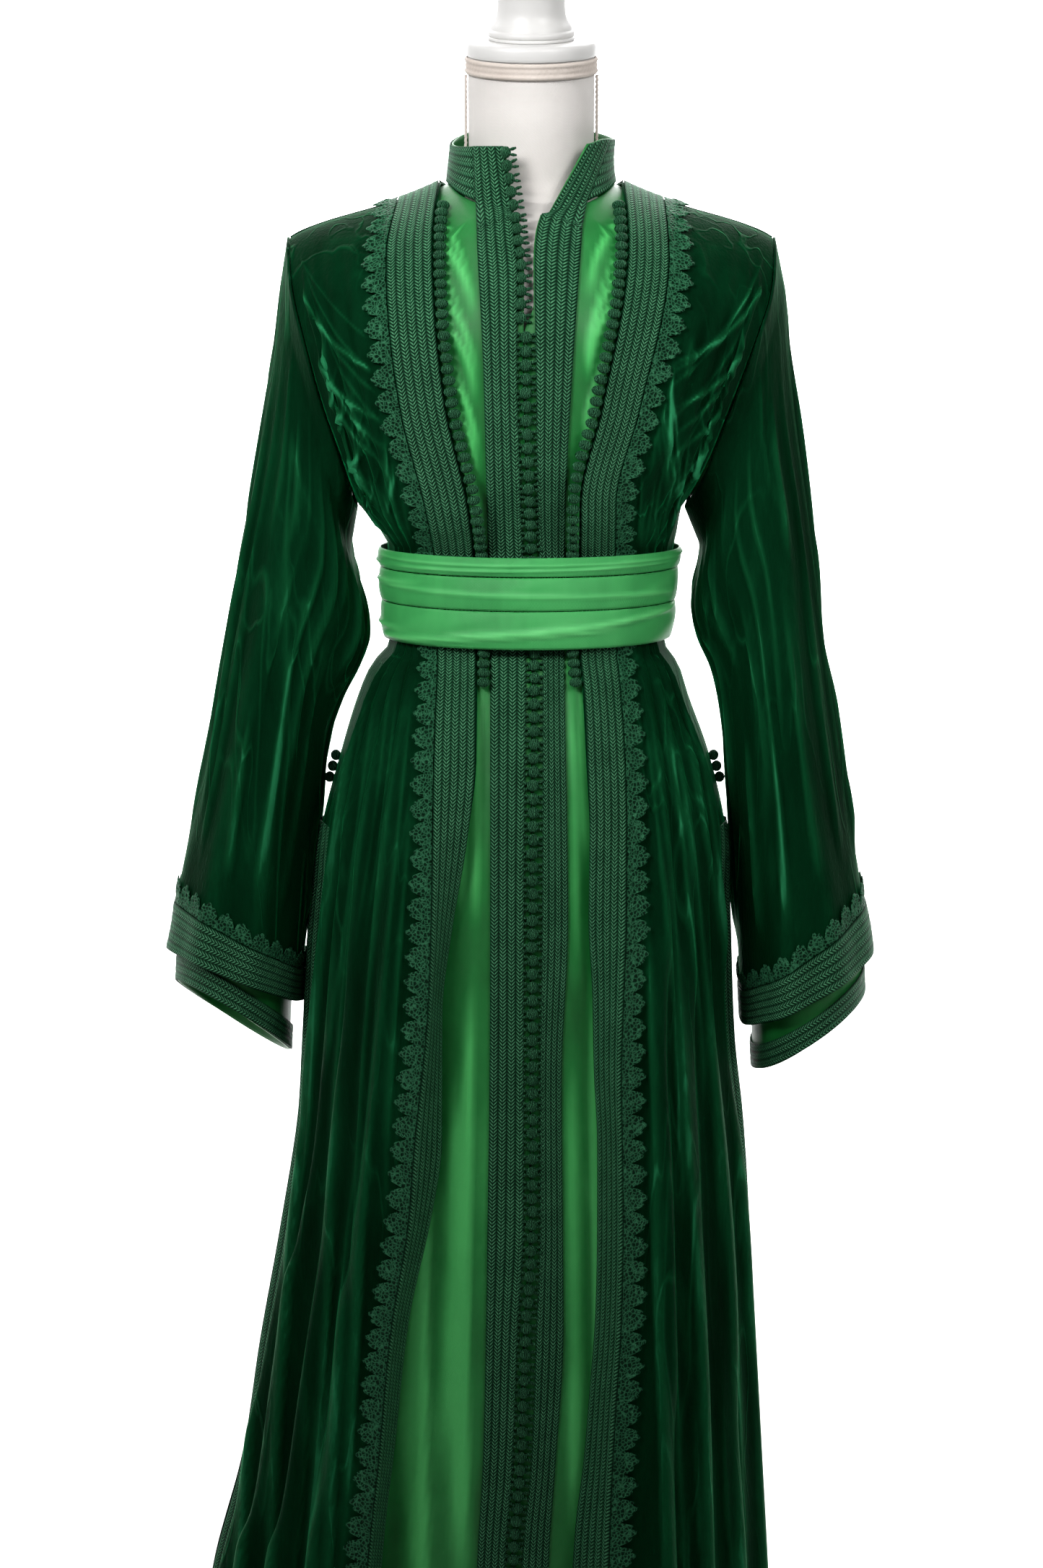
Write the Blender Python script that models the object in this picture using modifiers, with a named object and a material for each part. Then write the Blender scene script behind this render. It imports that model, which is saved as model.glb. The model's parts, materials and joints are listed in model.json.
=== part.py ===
"""Moroccan kaftan in two layers, with its sash, on a limbless dress form.

Metres. +Z is up and -Y is the front. The wearer's right is at -X, the viewer's left.
An open velvet caftan hangs over a closed satin one. Both hang from the shoulders of the form.
Every cloth panel is a grid of points on a body surface that is written as a depth over (x, z),
and every braid, lace and row of knots is made from the points of the panel that it lies on.
"""
import math

import bmesh
import bpy
import numpy as np

# Driving sizes
VELVET = 0.0017
SATIN = 0.0012
BRAID = 0.0018
SEAM = 0.0005
LIFT = 0.0007
LACE_LIFT = 0.0017
SLIT_LIFT = 0.0009
HEM_Z = 0.025
SLEEVE_GAP = 0.0085
UNDERARM_Z = 1.205
INNER_UNDERARM_Z = 1.235
OUTER_NECK_X = 0.0765
INNER_NECK_X = 0.0700
SHOULDER_DROP = 0.13
LACE_WIDTH = 0.020
LACE_PITCH = 0.0205
SLIT_TOP_Z = 0.958
SLIT_BRAID = 0.020
CUFF_BRAID = 0.038
INNER_CUFF_BRAID = 0.022
KNOT_PITCH = 0.0122
OUTER_KNOT_PITCH = 0.0092
KNOT_RADIUS = 0.0045
NECK_RADIUS = 0.0528
NECK_TOP_Z = 1.5830
NECK_LEAN = math.radians(8.5)
GIMP = 0.0142
ARMHOLE_SEAM = 0.0006
SLIT_EDGE_Y = 0.010
FRONT_CURVE = math.radians(80)
SATIN_CURVE = math.radians(78)
FRONT_KNOT_REACH = 0.0062
FRONT_KNOT_RISE = 0.0036
SIDES = (("left", 1.0), ("right", -1.0))


class Table:
    """Rows of named columns, read at any key by a smooth monotone curve through the rows."""

    def __init__(self, columns, *rows):
        data = np.array(sorted(rows), dtype=float)
        self.key = data[:, 0]
        self.columns = dict(zip(columns.split()[1:], data[:, 1:].T))

    def __call__(self, name, key):
        x, y = self.key, self.columns[name]
        step = np.diff(x)
        slope = np.diff(y) / step
        tangent = np.concatenate(([slope[0]], (slope[1:] + slope[:-1]) / 2, [slope[-1]]))
        turning = np.concatenate(([False], slope[1:] * slope[:-1] <= 0, [False]))
        tangent[turning] = 0
        limit = 3 * np.minimum(np.abs(np.append(slope, slope[-1])), np.abs(np.insert(slope, 0, slope[0])))
        tangent = np.sign(tangent) * np.minimum(np.abs(tangent), limit)
        key = np.clip(np.asarray(key, dtype=float), x[0], x[-1])
        i = np.clip(np.searchsorted(x, key) - 1, 0, len(step) - 1)
        t = (key - x[i]) / step[i]
        return ((1 + 2 * t) * (1 - t) ** 2 * y[i] + t * (1 - t) ** 2 * step[i] * tangent[i]
                + t * t * (3 - 2 * t) * y[i + 1] + t * t * (t - 1) * step[i] * tangent[i + 1])


# Half widths and depths of the outer caftan. Above the underarm the widths are those of the
# shoulders' surface, past the line where the sleeves are set in.
OUTER = Table(
    "z left right front back",
    (0.025, 0.222, 0.312, 0.222, 0.225),
    (0.26, 0.208, 0.281, 0.213, 0.212),
    (0.36, 0.202, 0.2545, 0.210, 0.205),
    (0.466, 0.196, 0.2375, 0.206, 0.198),
    (0.57, 0.1905, 0.2185, 0.203, 0.190),
    (0.673, 0.1835, 0.202, 0.199, 0.182),
    (0.74, 0.176, 0.1975, 0.195, 0.176),
    (0.854, 0.171, 0.1905, 0.186, 0.164),
    (0.93, 0.1675, 0.1805, 0.172, 0.152),
    (0.995, 0.1525, 0.1635, 0.150, 0.138),
    (1.045, 0.1345, 0.148, 0.128, 0.118),
    (1.07, 0.1265, 0.137, 0.112, 0.104),
    (1.092, 0.1135, 0.1205, 0.0965, 0.0935),
    (1.176, 0.1225, 0.1230, 0.1000, 0.096),
    (1.19, 0.1255, 0.133, 0.112, 0.101),
    (1.205, 0.128, 0.145, 0.120, 0.104),
    (1.25, 0.168, 0.178, 0.127, 0.109),
    (1.30, 0.195, 0.206, 0.130, 0.111),
    (1.35, 0.220, 0.225, 0.128, 0.108),
    (1.40, 0.245, 0.245, 0.115, 0.098),
    (1.48, 0.260, 0.260, 0.092, 0.086))

INNER = Table(
    "z left right front back",
    (0.025, 0.200, 0.285, 0.160, 0.195),
    (0.26, 0.190, 0.255, 0.153, 0.185),
    (0.36, 0.185, 0.236, 0.150, 0.180),
    (0.57, 0.175, 0.202, 0.145, 0.168),
    (0.74, 0.162, 0.183, 0.141, 0.157),
    (0.854, 0.158, 0.177, 0.138, 0.148),
    (0.93, 0.155, 0.167, 0.135, 0.140),
    (0.995, 0.142, 0.152, 0.128, 0.128),
    (1.045, 0.1265, 0.139, 0.114, 0.109),
    (1.07, 0.1195, 0.1295, 0.1035, 0.098),
    (1.092, 0.1080, 0.1145, 0.0905, 0.0880),
    (1.176, 0.1150, 0.1165, 0.0940, 0.0905),
    (1.235, 0.1245, 0.1455, 0.1180, 0.1000),
    (1.25, 0.150, 0.161, 0.1215, 0.1020),
    (1.30, 0.184, 0.194, 0.1240, 0.1045),
    (1.35, 0.214, 0.219, 0.1225, 0.1025),
    (1.40, 0.239, 0.239, 0.1095, 0.0925),
    (1.48, 0.254, 0.254, 0.0865, 0.0805))

# The form, with its flat base at the bottom and its shoulders closed off below the armholes.
FORM = Table(
    "z left right front back",
    (0.78, 0.138, 0.138, 0.108, 0.112),
    (0.86, 0.143, 0.143, 0.118, 0.126),
    (0.95, 0.141, 0.141, 0.120, 0.124),
    (1.045, 0.115, 0.116, 0.096, 0.092),
    (1.10, 0.101, 0.103, 0.083, 0.081),
    (1.17, 0.107, 0.107, 0.086, 0.082),
    (1.21, 0.113, 0.118, 0.098, 0.086),
    (1.30, 0.138, 0.138, 0.113, 0.093),
    (1.38, 0.168, 0.168, 0.107, 0.088),
    (1.42, 0.192, 0.192, 0.092, 0.076),
    (1.48, 0.240, 0.240, 0.070, 0.057))

SHOULDER = Table(
    "x z",
    (0.0, 1.510), (0.03, 1.504), (0.05, 1.494), (0.0735, 1.480), (0.107, 1.4655),
    (0.124, 1.460), (0.194, 1.4375), (0.207, 1.430), (0.26, 1.400))

# Where the sleeves are set in, from the shoulder's tip to the underarm.
OUTER_ARM = Table(
    "z left right",
    (1.205, 0.128, 0.145), (1.25, 0.148, 0.158), (1.297, 0.166, 0.1735),
    (1.345, 0.184, 0.1865), (1.39, 0.199, 0.198), (1.4335, 0.203, 0.203))
INNER_ARM = Table(
    "z left right",
    (1.235, 0.1245, 0.1455), (1.26, 0.141, 0.156), (1.297, 0.160, 0.1675),
    (1.345, 0.178, 0.1805), (1.39, 0.192, 0.191), (1.4305, 0.1965, 0.1965))

# The open front of the outer caftan: the braid's inner edge and its border with the lace.
FRONT_LEFT = Table(
    "z edge braid",
    (1.4787, 0.0765, 0.1105), (1.4334, 0.0794, 0.1130), (1.30, 0.058, 0.0882),
    (1.218, 0.040, 0.0690), (1.094, 0.0398, 0.0703), (1.065, 0.0428, 0.0732),
    (1.005, 0.0457, 0.0770), (0.9465, 0.0481, 0.0786), (0.8757, 0.0482, 0.0786),
    (0.8165, 0.0518, 0.0768), (0.7445, 0.0538, 0.0752), (0.685, 0.0568, 0.0764),
    (0.625, 0.0569, 0.0771), (0.5335, 0.0553, 0.0756), (0.471, 0.0507, 0.0717),
    (0.412, 0.0459, 0.0687), (0.351, 0.0386, 0.0665), (0.025, 0.030, 0.058))
FRONT_RIGHT = Table(
    "z edge braid",
    (1.4787, 0.0765, 0.1110), (1.4334, 0.0809, 0.1193), (1.30, 0.0703, 0.1071),
    (1.218, 0.0522, 0.0880), (1.17, 0.0470, 0.0800), (1.094, 0.0455, 0.0777),
    (1.0057, 0.0459, 0.0803), (0.9475, 0.0524, 0.0814), (0.865, 0.0675, 0.0836),
    (0.793, 0.0761, 0.0871), (0.685, 0.0762, 0.0982), (0.6235, 0.0849, 0.1032),
    (0.5335, 0.1043, 0.1180), (0.412, 0.1184, 0.1300), (0.349, 0.1260, 0.1370),
    (0.025, 0.150, 0.165))

# How far the front edge is tucked back towards the satin, and the room it keeps there.
TUCK = Table(
    "z share room",
    (0.025, 0.95, 0.009), (0.85, 0.95, 0.008), (0.93, 0.75, 0.007),
    (1.00, 0.40, 0.006), (1.06, 0.0, 0.005), (1.48, 0.0, 0.005))

# The satin front: its neckline by x, then the two placket braids with the knots between them.
NECKLINE = Table(
    "x z",
    (0.0, 1.4500), (0.0115, 1.4525), (0.030, 1.457), (0.0505, 1.464), (0.0615, 1.470), (0.070, 1.4775))
PLACKET = Table(
    "z right_in right_out left_in left_out",
    (0.025, -0.0300, -0.0560, -0.0160, 0.0090), (0.20, -0.0260, -0.0510, -0.0115, 0.0130),
    (0.336, -0.0207, -0.0451, -0.0067, 0.0159), (0.398, -0.0157, -0.0414, -0.0006, 0.0201),
    (0.523, -0.0107, -0.0382, 0.0040, 0.0273), (0.615, -0.0057, -0.0369, 0.0072, 0.0265),
    (0.738, -0.0056, -0.0350, 0.0071, 0.0252), (0.871, -0.0056, -0.0343, 0.0085, 0.0305),
    (1.093, -0.0040, -0.0342, 0.0090, 0.0274), (1.217, -0.0080, -0.0369, 0.0045, 0.0283),
    (1.335, -0.0112, -0.0397, 0.0030, 0.0339), (1.405, -0.0106, -0.0430, 0.0020, 0.0385),
    (1.439, -0.0139, -0.0446, 0.0040, 0.0410), (1.4525, -0.0150, -0.0450, 0.0080, 0.0420))
OPEN_PLACKET_Z = 1.37

# Outer and inner outlines of the hanging sleeves.
SLEEVE_OUT = Table(
    "z left right",
    (0.820, 0.2960, 0.3145), (0.843, 0.2926, 0.3096), (0.868, 0.2872, 0.3060), (0.894, 0.2831, 0.3007),
    (0.944, 0.2737, 0.2895), (0.995, 0.2655, 0.2788), (1.095, 0.2506, 0.2602), (1.194, 0.2377, 0.2424),
    (1.292, 0.2249, 0.2266), (1.341, 0.2194, 0.2187), (1.3895, 0.2146, 0.2125), (1.4335, 0.2060, 0.2060))
SLEEVE_IN = Table(
    "z left right",
    (0.757, 0.1840, 0.2010), (0.854, 0.1785, 0.1975), (0.93, 0.1750, 0.1900), (0.995, 0.1690, 0.1790),
    (1.045, 0.1625, 0.1620), (1.07, 0.1560, 0.1490), (1.095, 0.1440, 0.1410), (1.12, 0.1385, 0.1430),
    (1.1446, 0.1410, 0.1486), (1.169, 0.1440, 0.1530), (1.194, 0.1350, 0.1500), (1.205, 0.1300, 0.1470))
SLEEVE_DEPTH = Table("s depth back", (0.0, 0.060, 0.000), (0.3, 0.058, 0.002), (0.7, 0.072, 0.008), (1.0, 0.088, 0.010))
CUFF = {"left": (0.822, 0.757, 0.000), "right": (0.8205, 0.773, 0.014)}
INNER_DROP = {"left": (0.036, 0.044), "right": (0.024, 0.050)}

# The collar, by the turn round the neck in degrees from the centre front to the wearer's right.
COLLAR = Table(
    "turn top radius",
    (-180, 1.525, 0.0600), (-130, 1.521, 0.0640), (-90, 1.5145, 0.0690), (-60, 1.514, 0.0690),
    (-43, 1.510, 0.0680), (19, 1.508, 0.0680), (60, 1.508, 0.0670), (90, 1.511, 0.0665),
    (130, 1.521, 0.0640), (180, 1.525, 0.0600))
COLLAR_ENDS = {"base": (-12.0, 12.0), "top": (-43.0, 19.0)}

# The wound sash: half widths and depths, and the height of each band at the sides.
SASH = Table(
    "z left right front back",
    (1.09, 0.1190, 0.1260, 0.1052, 0.1005), (1.12, 0.1228, 0.1280, 0.1062, 0.1012),
    (1.145, 0.1248, 0.1290, 0.1074, 0.1020), (1.172, 0.1278, 0.1298, 0.1084, 0.1030))
SASH_BANDS = (("sash_upper", 1.1560, 1.1720), ("sash_middle", 1.1275, 1.1552), ("sash_lower", 1.0950, 1.1268))

FORM_BASE_RADIUS = 0.150
POLE_RADIUS = 0.0125
COLOURS = {
    "velvet": ((0.006, 0.050, 0.020), 0.55), "satin": ((0.030, 0.250, 0.070), 0.32),
    "braid": ((0.020, 0.085, 0.040), 0.60), "lace": ((0.012, 0.055, 0.025), 0.70),
    "form": ((0.86, 0.83, 0.80), 0.85), "turned": ((0.93, 0.92, 0.91), 0.40),
    "gimp": ((0.80, 0.71, 0.65), 0.80), "metal": ((0.70, 0.70, 0.70), 0.35)}


def smoothstep(low, high, value):
    t = np.clip((np.asarray(value, dtype=float) - low) / (high - low), 0, 1)
    return t * t * (3 - 2 * t)


def blend(a, b, t):
    return a + (b - a) * t


# Body surfaces

def depth(table, x, z, side, face, lower=0.0):
    """Distance of a layer's surface from the plane y = 0, at (x, z), on the front or the back."""
    half = table("left" if side > 0 else "right", z)
    room = np.maximum(SHOULDER("z", np.abs(x)) - lower - z, 0) / SHOULDER_DROP
    rise = np.sqrt(1 - (1 - np.minimum(room, 1)) ** 2)
    across = np.sqrt(np.maximum(1 - (np.abs(x) / half) ** 2, 0))
    return table(face, z) * across * rise


LAYERS = {"outer": (OUTER, 0.0), "inner": (INNER, 0.0050), "form": (FORM, 0.0076)}


def layer_depth(layer, x, z, side, face):
    table, lower = LAYERS[layer]
    return depth(table, x, z, side, face, lower)


def slit_share(z):
    """How far the side edge is flicked out into its braided strip: none above the slit."""
    return smoothstep(SLIT_TOP_Z + 0.02, SLIT_TOP_Z - 0.07, z)


def skirt_depth(x, z, side, face):
    """The outer caftan's depth, drawn in at its sides where the slit's braid begins."""
    base = layer_depth("outer", x, z, side, face)
    share = slit_share(z)
    half = OUTER("left" if side > 0 else "right", z)
    strip = SLIT_BRAID * math.sqrt(0.5) * share
    inner_half = half - strip
    edge = (SLIT_EDGE_Y + strip) * share
    full = OUTER(face, z)
    across = np.sqrt(np.maximum(1 - (np.abs(x) / inner_half) ** 2, 0))
    return blend(base, edge + (full - edge) * across, share) if share > 0 else base


def x_along(surface, start, length):
    """The x reached after a given length over a surface, outwards from a starting x."""
    x = start + np.linspace(0, length, 25)
    y = surface(x)
    run = np.concatenate(([0], np.cumsum(np.hypot(np.diff(x), np.diff(y)))))
    return float(np.interp(length, run, x))


def fold_height(amount, count, across):
    """Pleats across a panel: as many rises from 0 to the amount as the count."""
    return amount * np.sin(math.pi * count * across) ** 2


FOLDS = Table(
    "z amount",
    (0.025, 0.024), (0.50, 0.016), (0.80, 0.010), (1.00, 0.006), (1.06, 0.004), (1.10, 0.0022),
    (1.17, 0.0022), (1.19, 0.003), (1.25, 0.004), (1.34, 0.003), (1.42, 0.0))

LOWER_Z = (1.190, 1.176, 1.092, 1.062, 1.005, 0.940, 0.850, 0.740, 0.600, 0.440, 0.240, HEM_Z)
INNER_LOWER_Z = (1.176, 1.092, 1.062, 1.005, 0.900, 0.740, 0.500, 0.260, HEM_Z)
UPPER_SHARE = (0.0, 0.017, 0.06, 0.13, 0.23, 0.36, 0.52, 0.69, 0.84, 0.94, 1.0)
PLEATS = 4
FRONT_STEPS = 8
BACK_STEPS = 6


def front_rows(arm_table, arm_bottom, lower_rows):
    """Pairs of heights, at the front edge and at the side, for each row of an outer front."""
    tip, neck = arm_table.key[-1], float(SHOULDER("z", OUTER_NECK_X))
    rows = [(blend(neck, arm_bottom, share), blend(tip, arm_bottom, share)) for share in UPPER_SHARE]
    return rows + [(z, z) for z in lower_rows]


def row_height(x, x_a, z_a, x_b, z_b):
    """Heights along a row that keeps a blended distance below the shoulder line."""
    t = np.clip((x - x_a) / (x_b - x_a), 0, 1)
    drop_a = SHOULDER("z", x_a) - z_a
    drop_b = SHOULDER("z", x_b) - z_b
    line = blend(SHOULDER("z", x_a), SHOULDER("z", x_b), t)
    near = smoothstep(0.10, 0.0, drop_a)
    return blend(line, SHOULDER("z", x), near) - blend(drop_a, drop_b, t)


def outer_front(name, side):
    """Grid of points of an outer front: edge, braid, lace, pleated cloth, slit strip."""
    edges = FRONT_LEFT if side > 0 else FRONT_RIGHT
    grid = []
    for z_edge, z_side in front_rows(OUTER_ARM, UNDERARM_Z, LOWER_Z):
        x_edge = float(edges("edge", z_edge))
        x_braid = float(edges("braid", z_edge))
        above = z_side >= UNDERARM_Z
        x_side = float(OUTER_ARM(name, z_side) if above else OUTER(name, z_side))
        share = float(slit_share(z_side))

        def height(x):
            return row_height(x, x_edge, z_edge, x_side, z_side) if above else z_side + 0 * x

        def surface(x):
            z = height(x)
            return layer_depth("outer", x, z, side, "front") if above else skirt_depth(x, z_side, side, "front")

        x_lace = x_along(surface, x_braid, LACE_WIDTH)
        strip = SLIT_BRAID * math.sqrt(0.5) * blend(0.6, 1.0, share)
        x_strip = x_side - strip
        x_lace = min(x_lace, x_strip - 0.012)
        steps = np.sin(FRONT_CURVE * np.arange(FRONT_STEPS + 1) / FRONT_STEPS) / math.sin(FRONT_CURVE)
        x = np.concatenate(([x_edge, x_braid], blend(x_lace, x_strip, steps), [x_side]))
        z = height(x)
        y = surface(x)
        tucked = layer_depth("inner", x_edge, z_edge, side, "front") + TUCK("room", z_edge)
        y[0] = blend(y[0], tucked, float(TUCK("share", z_edge)))
        y[-1] = blend(y[-1], SLIT_EDGE_Y, share)
        y = np.maximum(y, SEAM + ARMHOLE_SEAM * (z_side > UNDERARM_Z))
        across = np.arange(FRONT_STEPS + 1) / FRONT_STEPS
        fold = fold_height(float(FOLDS("amount", z_side)), PLEATS, across)
        out = np.stack([x, -y], axis=1)
        direction = np.gradient(out, axis=0)
        normal = np.stack([-direction[:, 1], direction[:, 0]], axis=1)
        normal /= np.linalg.norm(normal, axis=1)[:, None]
        normal *= np.sign(np.sum(normal * out, axis=1))[:, None]
        out[2:-1] += normal[2:-1] * fold[:, None]
        grid.append(np.stack([side * out[:, 0], out[:, 1], z], axis=1))
    return np.array(grid)


def inner_front(name, side):
    """Grid of points of a satin front: edge, placket braid, plain cloth to the side."""
    grid = []
    neck = [(0.0700, 1.4775), (0.0615, 1.4700), (0.0505, 1.4640), (0.0300, 1.4570)]
    edge_z = [1.4525, 1.432, 1.400, OPEN_PLACKET_Z, 1.300, 1.214]
    tip = INNER_ARM.key[-1]
    sides = [blend(tip, INNER_UNDERARM_Z, share) for share in UPPER_SHARE]
    rows = [(x, z, z_side, True) for (x, z), z_side in zip(neck, sides)]
    rows += [(None, z, z_side, True) for z, z_side in zip(edge_z, sides[len(neck):])]
    rows += [(None, z, z, False) for z in INNER_LOWER_Z]
    for x_neck, z_edge, z_side, above in rows:
        x_side = float(INNER_ARM(name, z_side) if above else INNER(name, z_side))
        if x_neck is None:
            right_edge = float(PLACKET("right_in", z_edge)) + 0.0045
            meet = right_edge + 2 * SEAM
            if side > 0:
                x_edge = meet if z_edge < OPEN_PLACKET_Z else float(PLACKET("left_in", z_edge)) - 0.0005
                band = [float(PLACKET("left_in", z_edge)), float(PLACKET("left_out", z_edge))]
            else:
                x_edge = -right_edge
                band = [-float(PLACKET("right_in", z_edge)), -float(PLACKET("right_out", z_edge))]
        else:
            x_edge = x_neck
            band = [x_neck + 0.001, x_neck + 0.006]
        band[0] = max(band[0], x_edge + 0.0004)
        steps = np.sin(SATIN_CURVE * np.arange(1, 5) / 4) / math.sin(SATIN_CURVE)
        x = np.concatenate(([x_edge], band, blend(band[1], x_side, steps)))
        z = row_height(x, x_edge, z_edge, x_side, z_side) if above else z_side + 0 * x
        y = layer_depth("inner", x, z, side, "front")
        y = np.maximum(y, SEAM + 0.0004 * above)
        grid.append(np.stack([side * x, -y, z], axis=1))
    return np.array(grid)


def back_rim(layer, x):
    """Height of the back neckline."""
    half, dip = (OUTER_NECK_X, 0.026) if layer == "outer" else (INNER_NECK_X, 0.010)
    top = SHOULDER("z", half) - LAYERS[layer][1]
    return top - dip * (1 - np.minimum(np.abs(x) / half, 1) ** 2)


def back_panel(layer, steps, lower_rows):
    """Grid of points of a back, from the wearer's left side to the right one."""
    arm, table = (OUTER_ARM, OUTER) if layer == "outer" else (INNER_ARM, INNER)
    arm_bottom = UNDERARM_Z if layer == "outer" else INNER_UNDERARM_Z
    neck = OUTER_NECK_X if layer == "outer" else INNER_NECK_X
    tip = arm.key[-1]
    rows = [(share, blend(tip, arm_bottom, share)) for share in UPPER_SHARE] + [(None, z) for z in lower_rows]
    grid = []
    for share, z_side in rows:
        above = share is not None
        row = []
        for name, side in SIDES:
            x_side = float(arm(name, z_side) if above else table(name, z_side))
            part = np.arange(steps + 1) / steps
            angle = np.sin(FRONT_CURVE * part) / math.sin(FRONT_CURVE)
            plain = x_side * blend(part, angle, 0.6 if above else 1.0)
            if above:
                # The top row turns at the neck point, so two columns there follow the neckline.
                knee = 3 / steps
                near_neck = neck * (1 - np.maximum(1 - part / knee, 0) ** 2.2)
                kinked = np.where(part <= knee, near_neck,
                                  neck + (x_side - neck) * (part - knee) / (1 - knee))
                x = blend(kinked, plain, smoothstep(0.0, 0.6, share))
                top = np.where(x <= neck + 1e-6, back_rim(layer, x), SHOULDER("z", x) - LAYERS[layer][1])
                bottom = arm_bottom + 0 * x
                z = blend(top, bottom, share)
                edge = (SHOULDER("z", x_side) - LAYERS[layer][1]) * (1 - share) + arm_bottom * share
                z += (z_side - edge) * part ** 2
                y = layer_depth(layer, x, z, side, "back")
            else:
                x, z = plain, z_side + 0 * part
                y = (skirt_depth(x, z_side, side, "back") if layer == "outer"
                     else layer_depth(layer, x, z, side, "back"))
            if layer == "outer" and not above:
                y[-1] = blend(y[-1], SLIT_EDGE_Y, float(slit_share(z_side)))
            y = np.maximum(y, SEAM + ARMHOLE_SEAM * above)
            if layer == "outer":
                amount = float(FOLDS("amount", z_side)) * (1 if not above else smoothstep(0.3, 1.0, share))
                fold = amount * (np.arange(steps + 1) % 2)
                fold[-1] = 0
                y = y + fold * np.sqrt(np.maximum(1 - (x / x_side) ** 2, 0))
            row.append(np.stack([side * x, y, z], axis=1))
        grid.append(np.concatenate([row[0][::-1], row[1][1:]]))
    return np.array(grid)


SLEEVE_COLUMNS = 24
INNER_SLEEVE_COLUMNS = 12
SLEEVE_SHARES = (0.07, 0.18, 0.33, 0.56)


def arm_ring(layer, name, side, columns):
    """The seam where a sleeve is set in: down the front, then up the back."""
    if layer == "outer":
        arm, bottom, out, tight = OUTER_ARM, UNDERARM_Z, VELVET + 0.0008, 1.0
    else:
        arm, bottom, out, tight = INNER_ARM, INNER_UNDERARM_Z, SATIN + 0.0008, 0.88
    top = arm.key[-1]
    ring = []
    for k in range(columns):
        angle = 2 * math.pi * k / columns
        z = blend(bottom, top, (1 + math.cos(angle)) / 2)
        x = float(arm(name, z))
        face = "front" if math.sin(angle) >= 0 else "back"
        y = tight * float(layer_depth(layer, x, z, side, face))
        ring.append((side * (x + out), -y if face == "front" else y, z))
    return np.array(ring)


def sleeve_ring(name, side, share, columns, inset, drop=None):
    """One oval ring of a hanging sleeve, at a share of the way to the cuff."""
    top_end, bottom_end, rise = CUFF[name]
    z_top = blend(OUTER_ARM.key[-1], top_end, share)
    z_bottom = blend(UNDERARM_Z, bottom_end, share)
    top = np.array([side * (float(SLEEVE_OUT(name, z_top)) - inset), 0, z_top])
    bottom = np.array([side * (float(SLEEVE_IN(name, z_bottom)) + inset), 0, z_bottom])
    middle = (top + bottom) / 2 + np.array([0, float(SLEEVE_DEPTH("back", share)), 0])
    long_half = (top - bottom) / 2
    wide = float(SLEEVE_DEPTH("depth", share)) - inset
    wide_half = np.array([0, -wide, rise * share ** 2])
    ring = []
    for k in range(columns):
        angle = 2 * math.pi * k / columns
        point = middle + long_half * math.cos(angle) + wide_half * math.sin(angle)
        if drop is not None:
            near, far = drop
            back = (1 - math.cos(angle - math.radians(60))) / 2
            point = point + np.array([side * 0.05, 0, -1]) * blend(near, far, back)
        ring.append(point)
    return np.array(ring)


def sleeve_folds(ring, share, count):
    """Soft upright folds: every other point of a sleeve's ring is pushed out."""
    middle = ring.mean(axis=0)
    columns = len(ring)
    out = ring - middle
    out /= np.linalg.norm(out, axis=1)[:, None]
    angle = 2 * math.pi * np.arange(columns) / columns
    height = 0.005 * smoothstep(0.1, 0.6, share) * np.sin(count * angle / 2) ** 2 * np.abs(np.sin(angle))
    return ring + out * height[:, None]


def outer_sleeve(name, side):
    """Rings of an outer sleeve. The last two strips carry the lace and the braid."""
    length = 0.56
    braid_share, lace_share = 1 - CUFF_BRAID / length, 1 - (CUFF_BRAID + LACE_WIDTH) / length
    rings = [arm_ring("outer", name, side, SLEEVE_COLUMNS)]
    for share in (*SLEEVE_SHARES, lace_share, braid_share, 1.0):
        ring = sleeve_ring(name, side, share, SLEEVE_COLUMNS, 0.0)
        rings.append(sleeve_folds(ring, share, 8))
    return np.array(rings)


def inner_sleeve(name, side):
    rings = [arm_ring("inner", name, side, INNER_SLEEVE_COLUMNS)]
    for share in (*SLEEVE_SHARES, 0.95):
        rings.append(sleeve_ring(name, side, share, INNER_SLEEVE_COLUMNS, SLEEVE_GAP))
    near, far = INNER_DROP[name]
    for drop in ((near - INNER_CUFF_BRAID, far - INNER_CUFF_BRAID), (near, far)):
        rings.append(sleeve_ring(name, side, 1.0, INNER_SLEEVE_COLUMNS, SLEEVE_GAP, drop))
    return np.array(rings)


# Solids from grids of points

def normals_of(grid, around, centre=None):
    """Unit normals of a grid of points, turned away from the centre line."""
    if around:
        down = np.gradient(grid, axis=0)
        along = np.roll(grid, -1, axis=1) - np.roll(grid, 1, axis=1)
    else:
        down = np.gradient(grid, axis=0)
        along = np.gradient(grid, axis=1)
    normal = np.cross(down, along)
    normal /= np.maximum(np.linalg.norm(normal, axis=2), 1e-9)[:, :, None]
    middle = np.zeros_like(grid) if centre is None else np.broadcast_to(centre[:, None, :], grid.shape).copy()
    if centre is None:
        middle[:, :, 2] = grid[:, :, 2] - 0.02
    if np.sum(normal * (grid - middle)) < 0:
        normal = -normal
    return normal


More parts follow.
